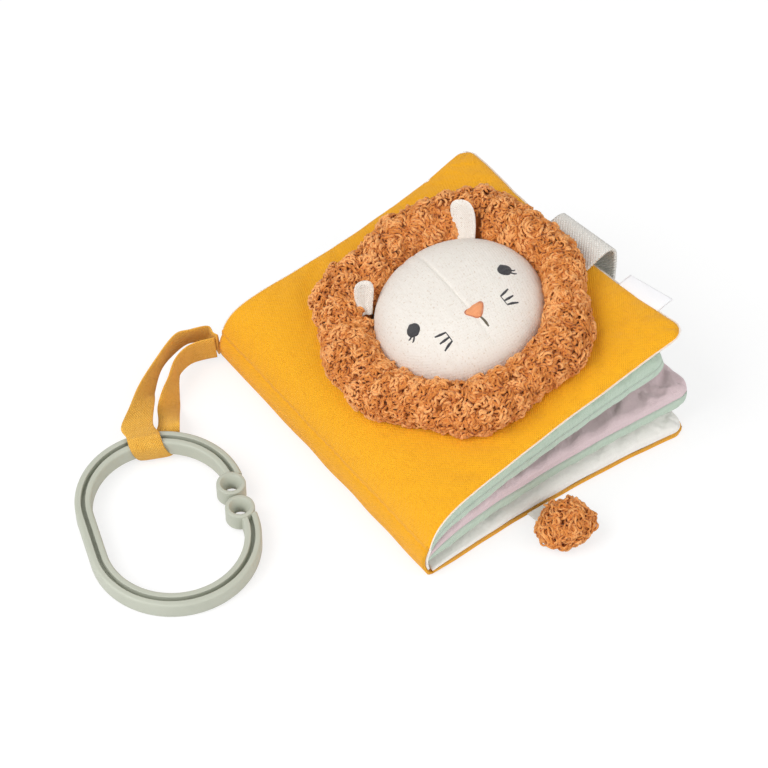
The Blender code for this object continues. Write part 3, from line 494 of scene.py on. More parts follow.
# The two leaves: made as the back cover is, but stuffed right up to their seams, so that
# the edges stand round and full of small tucks. The lower one is pink above and mint
# below, and the upper one is mint on both faces.
mint_look = cloth_look(
    "mint_cloth", dye(196, 213, 196), dye(170, 192, 172), dye(212, 224, 210), 0.4,
    streaks=0.35, flecks=0.12, bump=0.07, sheen=0.3,
)
pink_look = cloth_look(
    "pink_cloth", dye(226, 204, 207), dye(208, 182, 187), dye(234, 216, 218), 0.4,
    streaks=0.3, flecks=0.12, bump=0.07, sheen=0.3,
)
leaf_2_panel = dict(
    x=-0.06789, z=0.0085, reach=0.1425, half=0.073, lie=math.radians(5.2), crown=0.0065,
    spring=0.09, fall=1.0, side_draw=0.0034, edge_draw=0.003, far_side=(0.0, 0.0), seed=31,
)
leaf_1_panel = dict(
    x=-0.06734, z=0.0125, reach=0.1305, half=0.073, lie=math.radians(16.9), crown=0.0105,
    spring=0.08, fall=2.2, side_draw=0.0034, edge_draw=0.003, far_side=(0.0, 0.0), seed=41,
)
# Each leaf: its panel, its puckers' seed, its upper cloth's look and slot, and how high the
# upper and the lower cloth stand over the seam and how fast they rise from the spine.
leaves = (
    ("leaf_2", leaf_2_panel, 51, pink_look, "pink_cloth", (0.0042, 0.0062), (0.022, 0.012)),
    ("leaf_1", leaf_1_panel, 61, mint_look, "mint_cloth", (0.0050, 0.0042), (0.016, 0.022)),
)
for leaf, panel, seed, upper_look, upper_slot, rises, tapers in leaves:
    puckers = seam_puckers(panel, seed, pressure=0.8, slack=0.055, bend=0.3)
    upper = panel_cloth(
        panel, leaf + "_front_padded", 1, puckers[0], upper_look, rises[0], 0.0035,
        gain=1.6, taper=tapers[0], rim=0.0007, bulge=0.0006,
    )
    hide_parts(leaf + "_front_cloth")
    lower = panel_cloth(
        panel, leaf + "_back_padded", -1, puckers[1], mint_look, rises[1], 0.0026,
        gain=1.6, taper=tapers[1], rim=0.0007, bulge=0.0008,
    )
    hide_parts(leaf + "_back_cloth")
    for cloth in (upper, lower):
        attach(cloth, leaf)


# The front cover: mustard linen weave above, cream cotton inside. Its cloth is smooth,
# because it's the firmest of the four panels, and only its seams pucker a little.
front_panel = dict(
    x=-0.0682, z=0.01775, reach=0.1405, half=0.075, lie=math.radians(20.5), crown=0.0135,
    spring=0.065, fall=1.8, side_draw=0.003, edge_draw=0.0062, far_side=(0.0038, -0.0042),
    seed=71,
)
front_puckers = seam_puckers(front_panel, 81, pressure=1.2, slack=0.045, bend=0.8)
front_outer = panel_cloth(
    front_panel, "front_cover_padded", 1, front_puckers[0], mustard_look, 0.0035, 0.015,
    gain=0.5, waves=0.0007,
)
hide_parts("front_outer_cloth")
front_lining = panel_cloth(
    front_panel, "front_lining_padded", -1, front_puckers[1], cream_look, 0.0035, 0.015,
    gain=0.7, proud=0.0007,
)
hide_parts("front_lining")
for cloth in (front_outer, front_lining):
    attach(cloth, "front_cover")


# The spine: one strip of the mustard cloth that runs from under the back cover round to
# the front cover, where a row of stitches holds it, and a cream lining inside it. It
# folds between the covers and leaves, and is made as one strip to each fold.
def unit(vectors):
    """The vectors with their lengths brought to 1."""
    return vectors / np.linalg.norm(vectors, axis=-1, keepdims=True)


def run_length(path):
    """How far along a path each of its points lies: the sum of its steps' lengths."""
    steps = np.linalg.norm(np.diff(path, axis=0), axis=1)
    return np.concatenate([[0], np.cumsum(steps)])


def thick_strip(name, path, thickness, half, look, columns, cut_start, wave_seed=0,
                middle=0.0, lean=(0.0, 0.0), stitched=None, longer=0.0):
    """A strip of cloth along y about a middle, its outer face on a path of (x, z) points.

    The inner face lies a thickness inside it, to the right of the path's direction. The
    head end is longer by longer·(y/half)² for y over 0. The path shifts by lean·y, with
    lean an (x, z). A row of stitches at a height z0 pulls the strip in by
    0.5·exp(−((z − z0)/1.1)²)·(0.7 + 0.3·cos(2·pi·y/6.5)) mm.
    """
    sway_size, pull, pull_width, stitch_pitch = 0.0005, 0.0005, 0.0011, 0.0065
    run = unit(np.gradient(path, axis=0))
    inward = np.stack([run[:, 1], -run[:, 0]], 1)
    inner = path + inward * np.broadcast_to(thickness, len(path))[:, None]
    ring = np.concatenate([path, inner[::-1]])
    y = np.linspace(-half, half, columns)
    share_out = np.clip(y / half, 0, 1)[None] ** 2
    length = run_length(path)
    length = cut_start + np.concatenate([length, length[::-1]])
    points = np.stack(np.broadcast_arrays(
        ring[:, 0, None], y[None] + middle + longer * share_out, ring[:, 1, None]
    ), -1)
    if wave_seed:
        sway = slow_waves(points[..., 2], points[..., 1], wave_seed, 0.012, 0.03)
        points[..., 0] += sway_size * sway * (1 - (y / half) ** 8)
    if stitched:
        near = np.exp(-(((points[..., 2] - stitched) / pull_width) ** 2))
        points[..., 0] += pull * near * (0.7 + 0.3 * np.cos(math.tau * y / stitch_pitch))
    points[..., 0] += lean[0] * y
    points[..., 2] += lean[1] * y
    cut = np.stack(np.broadcast_arrays(length[:, None], y[None]), -1)
    index = np.arange(len(ring) * columns).reshape(len(ring), columns)
    rolled = np.roll(index, -1, axis=0)
    sides = np.stack([rolled[:, :-1], rolled[:, 1:], index[:, 1:], index[:, :-1]], -1)
    outside, inside = index[: len(path)], index[: len(path) - 1 : -1]
    ends = np.stack([outside[:-1], outside[1:], inside[1:], inside[:-1]], -1)
    faces = sides.reshape(-1, 4).tolist()
    faces += ends[:, 0, ::-1].tolist() + ends[:, -1].tolist()
    return make_piece(name, points.reshape(-1, 3), faces, look, cut.reshape(-1, 2))


def spine_curve(z):
    """The x of the spine's outer face: −(67.5 + 3.5·(1 − ((z − 9.75)/9.75)²)) in mm."""
    return -(0.0675 + 0.0035 * (1 - ((z - 0.00975) / 0.00975) ** 2))


def smooth_path(corners, count):
    """Points on a smooth curve through the corners, the same count on each stretch.

    A stretch is a cubic. Its slope at a corner is half the way between its neighbours.
    """
    corners = np.asarray(corners, float)
    slopes = np.gradient(corners, axis=0)
    share = np.linspace(0, len(corners) - 1, count)
    low = np.clip(share.astype(int), 0, len(corners) - 2)
    t = (share - low)[:, None]
    start = corners[low] * (1 + 2 * t) * (1 - t) ** 2 + slopes[low] * t * (1 - t) ** 2
    end = corners[low + 1] * t * t * (3 - 2 * t) + slopes[low + 1] * t * t * (t - 1)
    return start + end


# Each fold: the bodies below and above it, its height, and the name and the two ends of
# the strip that bends there.
spine_folds = (
    ("back_cover", "leaf_2", 0.0065, "back", 0.0, 0.0085),
    ("leaf_2", "leaf_1", 0.0105, "leaf_2", 0.0085, 0.0125),
    ("leaf_1", "front_cover", 0.0145, "leaf_1", 0.0125, 0.0166),
)
spine_half, spine_columns, spine_waves = 0.0745, 97, 91
spine_thick, thin_under, thin_above, lining_thick = 0.0012, 0.0002, 0.0005, 0.0009
lining_inset, lining_half, lining_foot = 0.0015, 0.075, 0.004
under = np.array([[-0.0628, 0.00006], [-0.0645, 0.00004], [-0.0662, 0.00006]])
stitch_height = 0.0174
cover_top = np.array(
    [[-0.0694, stitch_height], [-0.0692, 0.0182], [-0.0690, 0.0192], [-0.0680, 0.0198]]
)
for lower_body, upper_body, fold, part, low, high in spine_folds:
    heights = np.linspace(low, high, 10)
    outer = np.stack([spine_curve(heights), heights], 1)
    thickness = np.full(len(heights), spine_thick)
    lining = np.stack([spine_curve(heights) + lining_inset, heights], 1)
    covers = ["spine_cloth_" + part]
    linings = ["spine_lining_" + part]
    stitched = None
    if part == "back":
        outer = smooth_path([*under, *outer[1:]], 30)
        thickness = np.interp(outer[:, 0], [-0.067, -0.0628], [spine_thick, thin_under])
        thickness[outer[:, 1] > 0.001] = spine_thick
        lining = lining[lining[:, 1] > lining_foot]
    if part == "leaf_1":
        outer = smooth_path([*outer, *cover_top], 40)
        thickness = np.interp(outer[:, 1], [0.0166, 0.0185], [spine_thick, thin_above])
        stitched = stitch_height
        covers.append("spine_cloth_front")
        linings.append("spine_lining_front")
    strip = thick_strip(
        "spine_cloth_over_" + part, outer, thickness, spine_half, mustard_look,
        spine_columns, low - 0.02, spine_waves, stitched=stitched, longer=0.0038,
    )
    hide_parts(*covers)
    inner = thick_strip(
        "spine_lining_over_" + part, lining, lining_thick, lining_half, cream_look,
        spine_columns, low, spine_waves, longer=0.0034,
    )
    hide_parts(*linings)
    for piece in (strip, inner):
        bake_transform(piece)


# The lion's head, sewn on the front cover: natural linen with beige flecks, cut in two
# halves that meet in a seam from the forehead to the chin, stuffed into a dome, and
# puckered where its edge is gathered under the mane.
head_reach = 0.0758
head_offset = -0.0052
head_turn = math.radians(-4)
head_seat = 0.00475


def on_head(x, y, height):
    """World places on the head: x to its left, y to its crown, height over the cover."""
    u = head_reach + x * math.cos(head_turn) - y * math.sin(head_turn)
    v = head_offset + x * math.sin(head_turn) + y * math.cos(head_turn)
    return on_panel(front_panel, u, v, head_seat + height)


face_half = (0.0374, 0.037)
face_wall = 0.005
face_top = 0.0238
face_foot = 0.0011


def dome_rise(rho):
    """Height of the stuffed dome at a share of its radius: wall + rise·(1 − rho^2.6)^0.5."""
    return face_wall + (face_top - face_wall) * np.sqrt(np.clip(1 - rho**2.6, 0, 1))


def closed_turning(rings, spokes):
    """Faces of rings round a first point, with a fan to it and the last ring capped."""
    index = np.arange(rings * spokes).reshape(rings, spokes) + 1
    beside = np.roll(index, -1, axis=1)
    quads = np.stack([index[:-1], index[1:], beside[1:], beside[:-1]], -1).reshape(-1, 4)
    fan = np.stack([np.zeros(spokes, int), index[0], beside[0]], -1)
    return quads.tolist() + fan.tolist() + [index[-1, ::-1].tolist()]


face_rings, face_spokes, dome_share, wall_share = 64, 220, 0.94, 0.06
face_share = np.linspace(0, 1, face_rings + 1)[1:]
dome_part = np.clip(face_share / dome_share, 0, 1)
face_rho = np.sin(dome_part * math.pi / 2)
face_drop = np.clip((face_share - dome_share) / wall_share, 0, 1)
face_turns = np.arange(face_spokes) * math.tau / face_spokes
rho, turn = np.meshgrid(face_rho, face_turns, indexing="ij")
face_x = face_half[0] * rho * np.cos(turn)
face_y = face_half[1] * rho * np.sin(turn)
face_height = dome_rise(rho) - (face_wall - face_foot) * face_drop[:, None]
face_points = np.stack([face_x, face_y, face_height], -1)


def face_puckers():
    """How far the gathered edge puckers the face cloth: a simulation less its average."""
    jitter, held_rings = 0.00004, 3
    start = np.concatenate([[[0, 0, face_top]], face_points.reshape(-1, 3)])
    uneven = np.random.default_rng(5).normal(0, jitter, start.shape)
    held = np.zeros(len(start), bool)
    held[-face_spokes * held_rings :] = True
    uneven[held] = 0
    faces = closed_turning(face_rings, face_spokes)[:-1]
    filled = settle("filled_face", start + uneven, faces, held, 2.0, 0.05, 0.4, frames=16)
    moved = filled[1:].reshape(face_rings, face_spokes, 3) - face_points
    swell = np.einsum("ijk,ijk->ij", moved, unit(face_points))
    around = np.concatenate([swell, swell, swell], 1)
    calm = softened(around, 40, rows=False)[:, face_spokes : 2 * face_spokes]
    return swell - calm


# The seam is a fine groove with stitches that pull at the cloth beside it, and by the
# forehead a soft tuck runs next to it. Each is exp(−(x/width)²) deep across its line.
crease_cap = 0.0007
groove_width, groove_depth, groove_end = 0.0007, 0.00055, -0.03
pull_width, pull_depth, stitch_turn = 0.0035, 0.00012, 0.00075
tuck_x, tuck_width, tuck_depth, tuck_start, tuck_fade = -0.006, 0.0018, 0.0006, 0.018, 0.012
face_crease = crease_cap * np.tanh(face_puckers() / crease_cap)
face_crease = face_crease * np.clip((rho - 0.35) / 0.4, 0, 1)
groove = np.exp(-((face_x / groove_width) ** 2)) * np.where(face_y > groove_end, 1.0, 0.0)
pulls = np.exp(-((face_x / pull_width) ** 2)) * (0.5 + 0.5 * np.sin(face_y / stitch_turn))
tuck = np.exp(-(((face_x - tuck_x) / tuck_width) ** 2))
tuck = tuck * np.clip((face_y - tuck_start) / tuck_fade, 0, 1)
face_surface = face_height + face_crease - groove_depth * groove - pull_depth * pulls
face_surface = face_surface - tuck_depth * tuck
linen_look = cloth_look(
    "face_linen", dye(250, 244, 236), dye(238, 228, 216), dye(206, 180, 150), 0.45,
    streaks=0.4, flecks=0.42, bump=0.14, sheen=0.1, mottle=3.0,
)
backing_look = cloth_look(
    "head_backing", dye(240, 234, 226), dye(226, 216, 204), dye(196, 170, 140), 0.45,
    by_cut=False,
)
face_mesh = on_head(face_x, face_y, face_surface).reshape(-1, 3)
crown = on_head(np.array([0.0]), np.array([0.0]), np.array([face_top - 0.0005]))
centre_out = np.concatenate([np.full((1, face_spokes, 3), (0, 0, face_top)), face_points])
face_arc = np.cumsum(np.linalg.norm(np.diff(centre_out, axis=0), axis=-1), axis=0)
face_cut = np.stack([face_arc * np.cos(turn), face_arc * np.sin(turn)], -1).reshape(-1, 2)
face_cloth = make_piece(
    "face_linen_stuffed", np.concatenate([crown, face_mesh]),
    closed_turning(face_rings, face_spokes), linen_look, np.concatenate([[[0, 0]], face_cut]),
)
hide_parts("face_cloth")
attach(face_cloth, "front_cover")
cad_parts["head_back"].data.materials[0] = backing_look
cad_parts["head_filling"].data.materials[0] = fibre


def face_level(x, y):
    """Height of the finished face under a place, read between the points of its grid."""
    away = np.hypot(x / face_half[0], y / face_half[1])
    around = (np.arctan2(y / face_half[1], x / face_half[0]) / math.tau) % 1.0
    share = dome_share * np.arcsin(np.clip(away, 0, 1)) / (math.pi / 2)
    row = (share * face_rings - 1) / (face_rings - 1)
    wrapped = np.concatenate([face_surface, face_surface[:, :1]], 1)
    return sampled(wrapped, np.clip(row, 0, 1), around)


# Eyes, nose, mouth and whiskers: satin stitches in thick thread, laid side by side across
# each shape, so that it stands a little proud of the linen.
def thread_look(name, colour, glint):
    """Twisted thread: a ridge every 0.3 mm along it, soft gloss and a painted highlight on each
    ridge.
    """
    look, tree, skin = new_look(name, {"Roughness": 0.5, "Sheen Weight": 0.2})
    place = millimetres(tree, True)
    wander = blotches(tree, place, 1.2)
    parts = shading(tree, "SeparateXYZ", {0: place})
    turn = number(tree, "MULTIPLY_ADD", parts.outputs[0], math.tau / 0.3, wander)
    ridge = number(tree, "MULTIPLY_ADD", number(tree, "SINE", turn), 0.5, 0.5)
    # The glint colour on each ridge is a painted highlight.
    dress(tree, skin, mixed(tree, ridge, colour, glint), ridge, 0.0001, 0.7)
    return look


def sleeve_faces(rings, sides, first=0):
    """Faces of a sleeve whose points are listed ring after ring, with both ends capped.

    They point outwards, because each ring turns right-handed about the way to the next.
    """
    index = np.arange(rings * sides).reshape(rings, sides) + first
    beside = np.roll(index, -1, axis=1)
    quads = np.stack([index[:-1], beside[:-1], beside[1:], index[1:]], -1).reshape(-1, 4)
    return quads.tolist() + [index[0, ::-1].tolist(), index[-1].tolist()]


def satin_strokes(name, strokes, look, rise=0.0005):
    """Raised strokes on the face. Each is a line of (x, y) places and its widths along it.

    Across a stroke, with a from −1 to 1, the height is rise·(width/1.2 mm)·(1 − a²)^0.5,
    times 1 + 0.12·sin(2·pi·length/0.35 mm) for its stitches.
    """
    lanes, step, stitch, full_width, sunk = 9, 0.00016, 0.00035, 0.0012, 0.00012
    points, faces, cut = [], [], []
    first = 0
    for line, widths in strokes:
        line = np.asarray(line, float)
        length = run_length(line)[-1]
        count = max(8, int(length / step))
        share = np.linspace(0, 1, count)
        middle = smooth_path(line, count)
        run = unit(np.gradient(middle, axis=0))
        width = np.interp(share, np.linspace(0, 1, len(widths)), widths)[:, None]
        reach = share[:, None] * length
        a = np.cos(np.linspace(0, math.pi, lanes))[None]
        aside = a * width / 2
        x = middle[:, 0, None] - run[:, 1, None] * aside
        y = middle[:, 1, None] + run[:, 0, None] * aside
        tall = rise * np.clip(width / full_width, 0.3, 1.3) * np.sqrt(1 - a * a)
        tall = tall * (1 + 0.12 * np.sin(math.tau * reach / stitch)) - sunk
        points.append(on_head(x, y, face_level(x, y) + tall).reshape(-1, 3))
        cut.append(np.stack(np.broadcast_arrays(reach, aside), -1).reshape(-1, 2))
        faces += sleeve_faces(count, lanes, first)
        first += count * lanes
    return make_piece(name, np.concatenate(points), faces, look, np.concatenate(cut))


# Each thread's second colour is its painted highlight.
dark_thread = thread_look("dark_thread", dye(24, 23, 27), dye(52, 49, 52))
apricot_thread = thread_look("apricot_thread", dye(226, 138, 84), dye(244, 170, 118))
rust_thread = thread_look("rust_thread", dye(186, 98, 54), dye(214, 130, 84))
olive_thread = thread_look("olive_thread", dye(70, 62, 44), dye(108, 98, 74))
oval_widths = [0.0008, 0.0042, 0.0055, 0.0061, 0.0061, 0.0055, 0.0042, 0.0008]
lash_widths = [0.0009, 0.0009, 0.0005]
lashes = (
    ((0.0020, -0.0058), (0.0031, -0.0063), (0.0040, -0.0062)),
    ((0.0014, -0.0070), (0.0025, -0.0080), (0.0034, -0.0083)),
)
comb_widths, comb_back_widths = [0.0008, 0.0012, 0.0007], [0.0005, 0.0006, 0.0005]
comb_heights = (
    (-0.0153, -0.0146, -0.0137), (-0.0178, -0.0176, -0.0173), (-0.0198, -0.0202, -0.0208),
)
features = []
for side_name, side, eye_x in (("left", 1, 0.0236), ("right", -1, -0.0238)):
    strokes = [([(eye_x, -0.0014), (eye_x, -0.0045), (eye_x, -0.0077)], oval_widths)]
    for lash in lashes:
        strokes.append(([(eye_x + side * away, y) for away, y in lash], lash_widths))
    eye = satin_strokes("eye_" + side_name + "_stitched", strokes, dark_thread)
    features.append((eye, "eye_" + side_name, "dark_thread"))
    inner, outer = side * 0.0142, side * 0.019
    teeth = (inner, (inner + outer) / 2, outer)
    strokes = [(list(zip(teeth, heights)), comb_widths) for heights in comb_heights]
    back = [(inner, -0.0152), (inner, -0.0176), (inner, -0.0199)]
    strokes.append((back, comb_back_widths))
    whiskers = satin_strokes(
        "whiskers_" + side_name + "_stitched", strokes, dark_thread, 0.0004
    )
    features.append((whiskers, "whiskers_" + side_name, "dark_thread"))
nose_x = 0.0016
nose = satin_strokes(
    "nose_stitched",
    [([(nose_x, -0.0126), (nose_x, -0.0154), (nose_x, -0.0184)],
      [0.0066, 0.0084, 0.0086, 0.0076, 0.006, 0.0042, 0.0026, 0.001])],
    apricot_thread,
)
features.append((nose, "nose", "apricot_thread"))
nose_rim = [
    (0.0, -0.0128), (0.0036, -0.0128), (0.0043, -0.0142), (0.0022, -0.0170), (0.0, -0.0185),
    (-0.0022, -0.0170), (-0.0043, -0.0142), (-0.0036, -0.0128), (0.0, -0.0128),
]
nose_edge = satin_strokes(
    "nose_outline_stitched",
    [([(nose_x + x, y) for x, y in nose_rim], [0.0005] * 3)], rust_thread, 0.0011,
)
features.append((nose_edge, None, "apricot_thread"))
mouth = satin_strokes(
    "mouth_stitched",
    [([(nose_x, -0.0188), (nose_x + 0.0003, -0.0212), (nose_x + 0.0002, -0.0238)],
      [0.0009, 0.0011, 0.0012, 0.0007])],
    olive_thread,
)
features.append((mouth, "mouth", "olive_thread"))
for piece, node_name, slot_name in features:
    if node_name:
        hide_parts(node_name)
    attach(piece, "front_cover")


# The mane: a ring of curly fleece in caramel, knitted with long loops that tangle into
# small curls. It is sewn down round the face, slopes up from the face's edge and stands
# in soft billows.
def fleece_look(name, deep, middle, tip):
    """Curly fleece: painted shade, dark between the curls and warm on them, by each point's
    shade.
    """
    look, tree, skin = new_look(name, {
        "Roughness": 0.9, "Sheen Weight": 0.2, "Sheen Roughness": 0.4,
        "Specular IOR Level": 0.15,
    })
    shade = shading(tree, "Attribute", attribute_name="shade").outputs["Fac"]
    cloud = blotches(tree, millimetres(tree, False), 9.0, 3.0)
    # Painted shade: the deep colour where the shade is low, between and under the curls, and
    # the tip colour on the outermost curls. The clouds add random tone.
    level = number(tree, "MULTIPLY_ADD", cloud, 0.4, number(tree, "ADD", shade, -0.2))
    lower = mixed(tree, spread(tree, level, 0.0, 0.5), deep, middle)
    colour = mixed(tree, spread(tree, level, 0.5, 1.0), lower, tip)
    fuzz = blotches(tree, millimetres(tree, False), 0.35, 2.0)
    dress(tree, skin, colour, fuzz, 0.0003, 0.6)
    return look


mane_profile = smooth_path(
    [(0.03, 0.05), (0.05, 0.3), (0.12, 0.6), (0.24, 0.84), (0.42, 0.97), (0.6, 1.0),
     (0.84, 0.82), (0.98, 0.5), (0.92, 0.12), (0.86, 0.0)], 60,
)
mane_reach = np.array([
    55.9, 54.5, 58.8, 62.1, 61.1, 59.6, 60.2, 56.6, 61.9, 63.5, 58.6, 58.6,
    57.3, 56.9, 54.7, 54.5, 58.5, 57.7, 53.9, 54.9, 58.6, 55.4, 52.2, 54.3,
]) / 1000
mane_waves = np.fft.rfft(mane_reach) / len(mane_reach)
mane_gap, mane_height = 0.0004, 0.0132


def mane_surface(around, along):
    """Places on the mane's body: around its ring in turns, along its section from 0 to 1.

    The section runs from the face's edge over the top to the outer foot. The outer edge is
    a sum of cosines through its reach in 24 directions. The top stands in billows: its
    height is multiplied by 1 + 0.34·(tanh(4·|w|) − 0.4), with w slow waves whose zeros are
    the creases between the billows.
    """
    turn = around * math.tau
    step = along * (len(mane_profile) - 1)
    across = np.interp(step, np.arange(len(mane_profile)), mane_profile[:, 0])
    up = np.interp(step, np.arange(len(mane_profile)), mane_profile[:, 1])
    inner_x = (face_half[0] + mane_gap) * np.cos(turn)
    inner_y = (face_half[1] + mane_gap) * np.sin(turn)
    outer = mane_waves[0].real
    for order in range(1, len(mane_reach) // 2):
        outer = outer + 2 * (mane_waves[order] * np.exp(1j * order * turn)).real
    x = inner_x + (outer * np.cos(turn) - inner_x) * across
    y = inner_y + (outer * np.sin(turn) - inner_y) * across
    billow = np.tanh(np.abs(slow_waves(x, y, 17, 0.012, 0.026, 5)) * 4)
    tall = mane_height * (1 + 0.34 * (billow - 0.4) * np.clip(across * 3, 0, 1))
    return on_head(x, y, tall * up)


def curls(name, centres, normals, seed, length, thickness, look, lift, shades):
    """Short curls of fleece, all in one mesh: arcs in the cloth's own plane.

    A curl of length l bends by b, so its places are r·sin(s·b), r·(1 − cos(s·b)) with
    r = l/b and s from −1/2 to 1/2, and it rises between its ends by lift·(1 − 4s²). Its
    heading is a slow flow over the cloth with a random turn added. It is thinner towards
    its ends, and painted darker there, as shade where they dip into the fleece.
    """
    spans, sides, flow_seeds, sunk = 6, 4, (41, 42, 43), 0.0003
    dice = np.random.default_rng(seed)
    count = len(centres)
    flow = [slow_waves(*centres.T[:2], flow_seed, 0.009, 0.02, 5) for flow_seed in flow_seeds]
    heading = 2.2 * np.stack(flow, 1) + dice.normal(0, 0.55, (count, 3))
    heading = unit(heading - normals * np.einsum("ij,ij->i", heading, normals)[:, None])
    beside = np.cross(normals, heading)
    bend = dice.uniform(1.2, 4.2, count) * dice.choice([-1, 1], count)
    long = length * dice.uniform(0.75, 1.35, count)
    thick = thickness * dice.uniform(0.8, 1.15, count) / 2
    rise = lift * dice.uniform(0.3, 1.3, count)
    s = np.linspace(-0.5, 0.5, spans + 1)
    angle = s[None] * bend[:, None]
    radius = (long / bend)[:, None]
    ahead = radius * np.sin(angle)
    aside = radius * (1 - np.cos(angle))
    above = rise[:, None] * (1 - 4 * s[None] ** 2) - sunk
    line = centres[:, None] + heading[:, None] * ahead[..., None]
    line = line + beside[:, None] * aside[..., None] + normals[:, None] * above[..., None]
    run = unit(np.gradient(line, axis=1))
    first = unit(np.cross(run, normals[:, None]))
    second = np.cross(run, first)
    taper = np.sqrt(np.clip(1 - (2 * s) ** 4, 0.12, 1))
    turn = np.arange(sides)[:, None] * math.tau / sides
    ring = first[:, :, None] * np.cos(turn) + second[:, :, None] * np.sin(turn)
    points = line[:, :, None] + ring * (thick[:, None] * taper[None])[:, :, None, None]
    one_curl = np.roll(sleeve_faces(spans + 1, sides), -1, axis=1)
    start = (np.arange(count) * (spans + 1) * sides)[:, None, None]
    faces = (one_curl[None] + start).reshape(-1, 4).tolist()
    # Painted shade: each curl's shade comes from its depth in the fleece, with random tone
    # added, and is darker towards its ends.
    own = np.clip(shades + dice.normal(0, 0.12, count), 0, 1)
    shade = np.broadcast_to(own[:, None, None], (count, spans + 1, sides))
    shade = shade * (0.55 + 0.45 * (1 - 4 * s[None, :, None] ** 2))
    return make_piece(name, points.reshape(-1, 3), faces, look, shade=shade.ravel())


def round_faces(sections, sides, turned=False):
    """Quads over a closed ring of sections, each of which is closed in itself.

    Turned, they face the other way.
    """
    index = np.arange(sections * sides).reshape(sections, sides)
    ahead = np.roll(index, -1, axis=0)
    corners = [ahead, np.roll(ahead, -1, 1), np.roll(index, -1, 1), index]
    if turned:
        corners = corners[2::-1] + corners[3:]
    return np.stack(corners, -1).reshape(-1, 4).tolist()


# The fleece's colours run from the deep one, painted shade between and under the curls, to the
# tip one on the outermost curls.
caramel_fleece = fleece_look(
    "caramel_fleece", dye(170, 90, 38), dye(218, 138, 68), dye(242, 174, 108)
)
mane_rows, mane_columns = 300, 60
around, along = np.meshgrid(
    np.arange(mane_rows) / mane_rows, np.linspace(0, 1, mane_columns), indexing="ij"
)
mane_faces = round_faces(mane_rows, mane_columns, turned=True)
# The backing is seen only between the curls, and is dark with painted shade.
mane = make_piece(
    "mane_backing", mane_surface(around, along).reshape(-1, 3), mane_faces, caramel_fleece,
    shade=np.full(mane_rows * mane_columns, 0.2),
)
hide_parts("mane")
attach(mane, "front_cover")
# The curls come in five sections of the ring. None grows where an ear's foot stands, which
# is given by its direction and half width in degrees and how far up the mane it reaches.
mane_curls, section_names, close = 17500, "abcde", 0.002
ear_feet = ((49, 8, 0.42), (143, 5, 0.3))
layer_height, clump_height, curl_length, curl_thickness = 0.0019, 0.0012, 0.0040, 0.00118
dice = np.random.default_rng(99)
for section, section_name in enumerate(section_names):
    count = mane_curls // len(section_names)
    place_around = (section + dice.uniform(0, 1, count)) / len(section_names)
    place_along = dice.uniform(0.1, 0.97, count)
    layer = dice.uniform(0, 1, count)
    clear = np.ones(count, bool)
    for degrees, half_foot, foot_top in ear_feet:
        beside_foot = np.abs(place_around * 360 - degrees) >= half_foot
        clear &= beside_foot | (place_along >= foot_top)
    place_around, place_along, layer = place_around[clear], place_along[clear], layer[clear]
    here = mane_surface(place_around, place_along)
    ahead = mane_surface(place_around + close, place_along) - here
    beside = mane_surface(place_around, place_along + close) - here
    normal = unit(np.cross(beside, ahead))
    clump = 2 * np.abs(slow_waves(here[:, 0], here[:, 1], 33, 0.008, 0.017, 5)) - 0.3
    here = here + normal * (layer_height * layer + clump_height * clump - 0.0002)[:, None]
    # Painted shade: curls lower in the fleece and in the creases between clumps are darker, and
    # the outermost lighter.
    shade = 0.28 + 0.45 * layer + 0.4 * clump
    fleece = curls(
        "mane_curls_" + section_name, here, normal, 200 + section, curl_length,
        curl_thickness, caramel_fleece, 0.0012, shade,
    )
    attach(fleece, "front_cover")


# The ears: folded tabs of the same linen, pinched at the foot, which stand up out of the
# seam between the face and the mane.
def ear(name, foot, tip, width_line, width):
    """A cupped tab: an oval section carried up from its foot to its tip.

    The width runs through a table of shares. The front stands at cup·a² − bow·sin(t·180°)
    off the axis, with a the share of the width and t the share of the height, and sinks in
    a crease that fades towards the tip. Places are (x, y, height) on the head.
    """
    rows, sides, half_thick, crease_depth, cup, bow = 40, 32, 0.0015, 0.0013, 0.0014, 0.0012
    foot, tip, width_line = (np.asarray(place, float) for place in (foot, tip, width_line))
    axis = tip - foot
    length = np.linalg.norm(axis)
    width_line = unit(width_line - axis * (width_line @ axis) / length**2)
    facing = np.cross(axis / length, width_line)
    t = np.sin(np.linspace(0, 1, rows) * math.pi / 2)[:, None]
    turn = (np.arange(sides) * math.tau / sides)[None]
    share = np.interp(
        t, [0, 0.2, 0.45, 0.7, 0.85, 0.94, 0.985, 1.0],
        [0.66, 0.78, 0.92, 1.0, 0.93, 0.74, 0.46, 0.08],
    )
    across = width / 2 * share * np.cos(turn)
    thick = half_thick * np.interp(t, [0, 0.6, 0.9, 1.0], [1.1, 1.0, 0.7, 0.1]) * np.sin(turn)
    fold = 0.1 * width + 0.12 * width * t
    crease = crease_depth * np.exp(-((across / fold) ** 2)) * (1 - t) ** 0.8
    hollow = cup * (np.cos(turn) * share) ** 2 - bow * np.sin(t * math.pi)
    front = thick + hollow - crease * np.clip(np.sin(turn), 0, 1)
    places = foot + axis * t[..., None] + width_line * across[..., None]
    places = places + facing * front[..., None]
    points = on_head(places[..., 0], places[..., 1], places[..., 2]).reshape(-1, 3)
    cut = np.stack(np.broadcast_arrays(length * t, across), -1).reshape(-1, 2)
    return make_piece(name, points, sleeve_faces(rows, sides), linen_look, cut)


ear_cuts = (
    ("left", (0.0222, 0.0276, 0.0065), (0.0302, 0.0364, 0.0238), (-0.43, 0.9, 0.1), 0.0122),
    ("right", (-0.0324, 0.0242, 0.0095), (-0.0270, 0.0296, 0.0230), (-0.9, 0.25, 0.35), 0.0090),
)
for side_name, foot, tip, width_line, width in ear_cuts:
    tab = ear("ear_" + side_name + "_folded", foot, tip, width_line, width)
    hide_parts("ear_" + side_name)
    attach(tab, "front_cover")


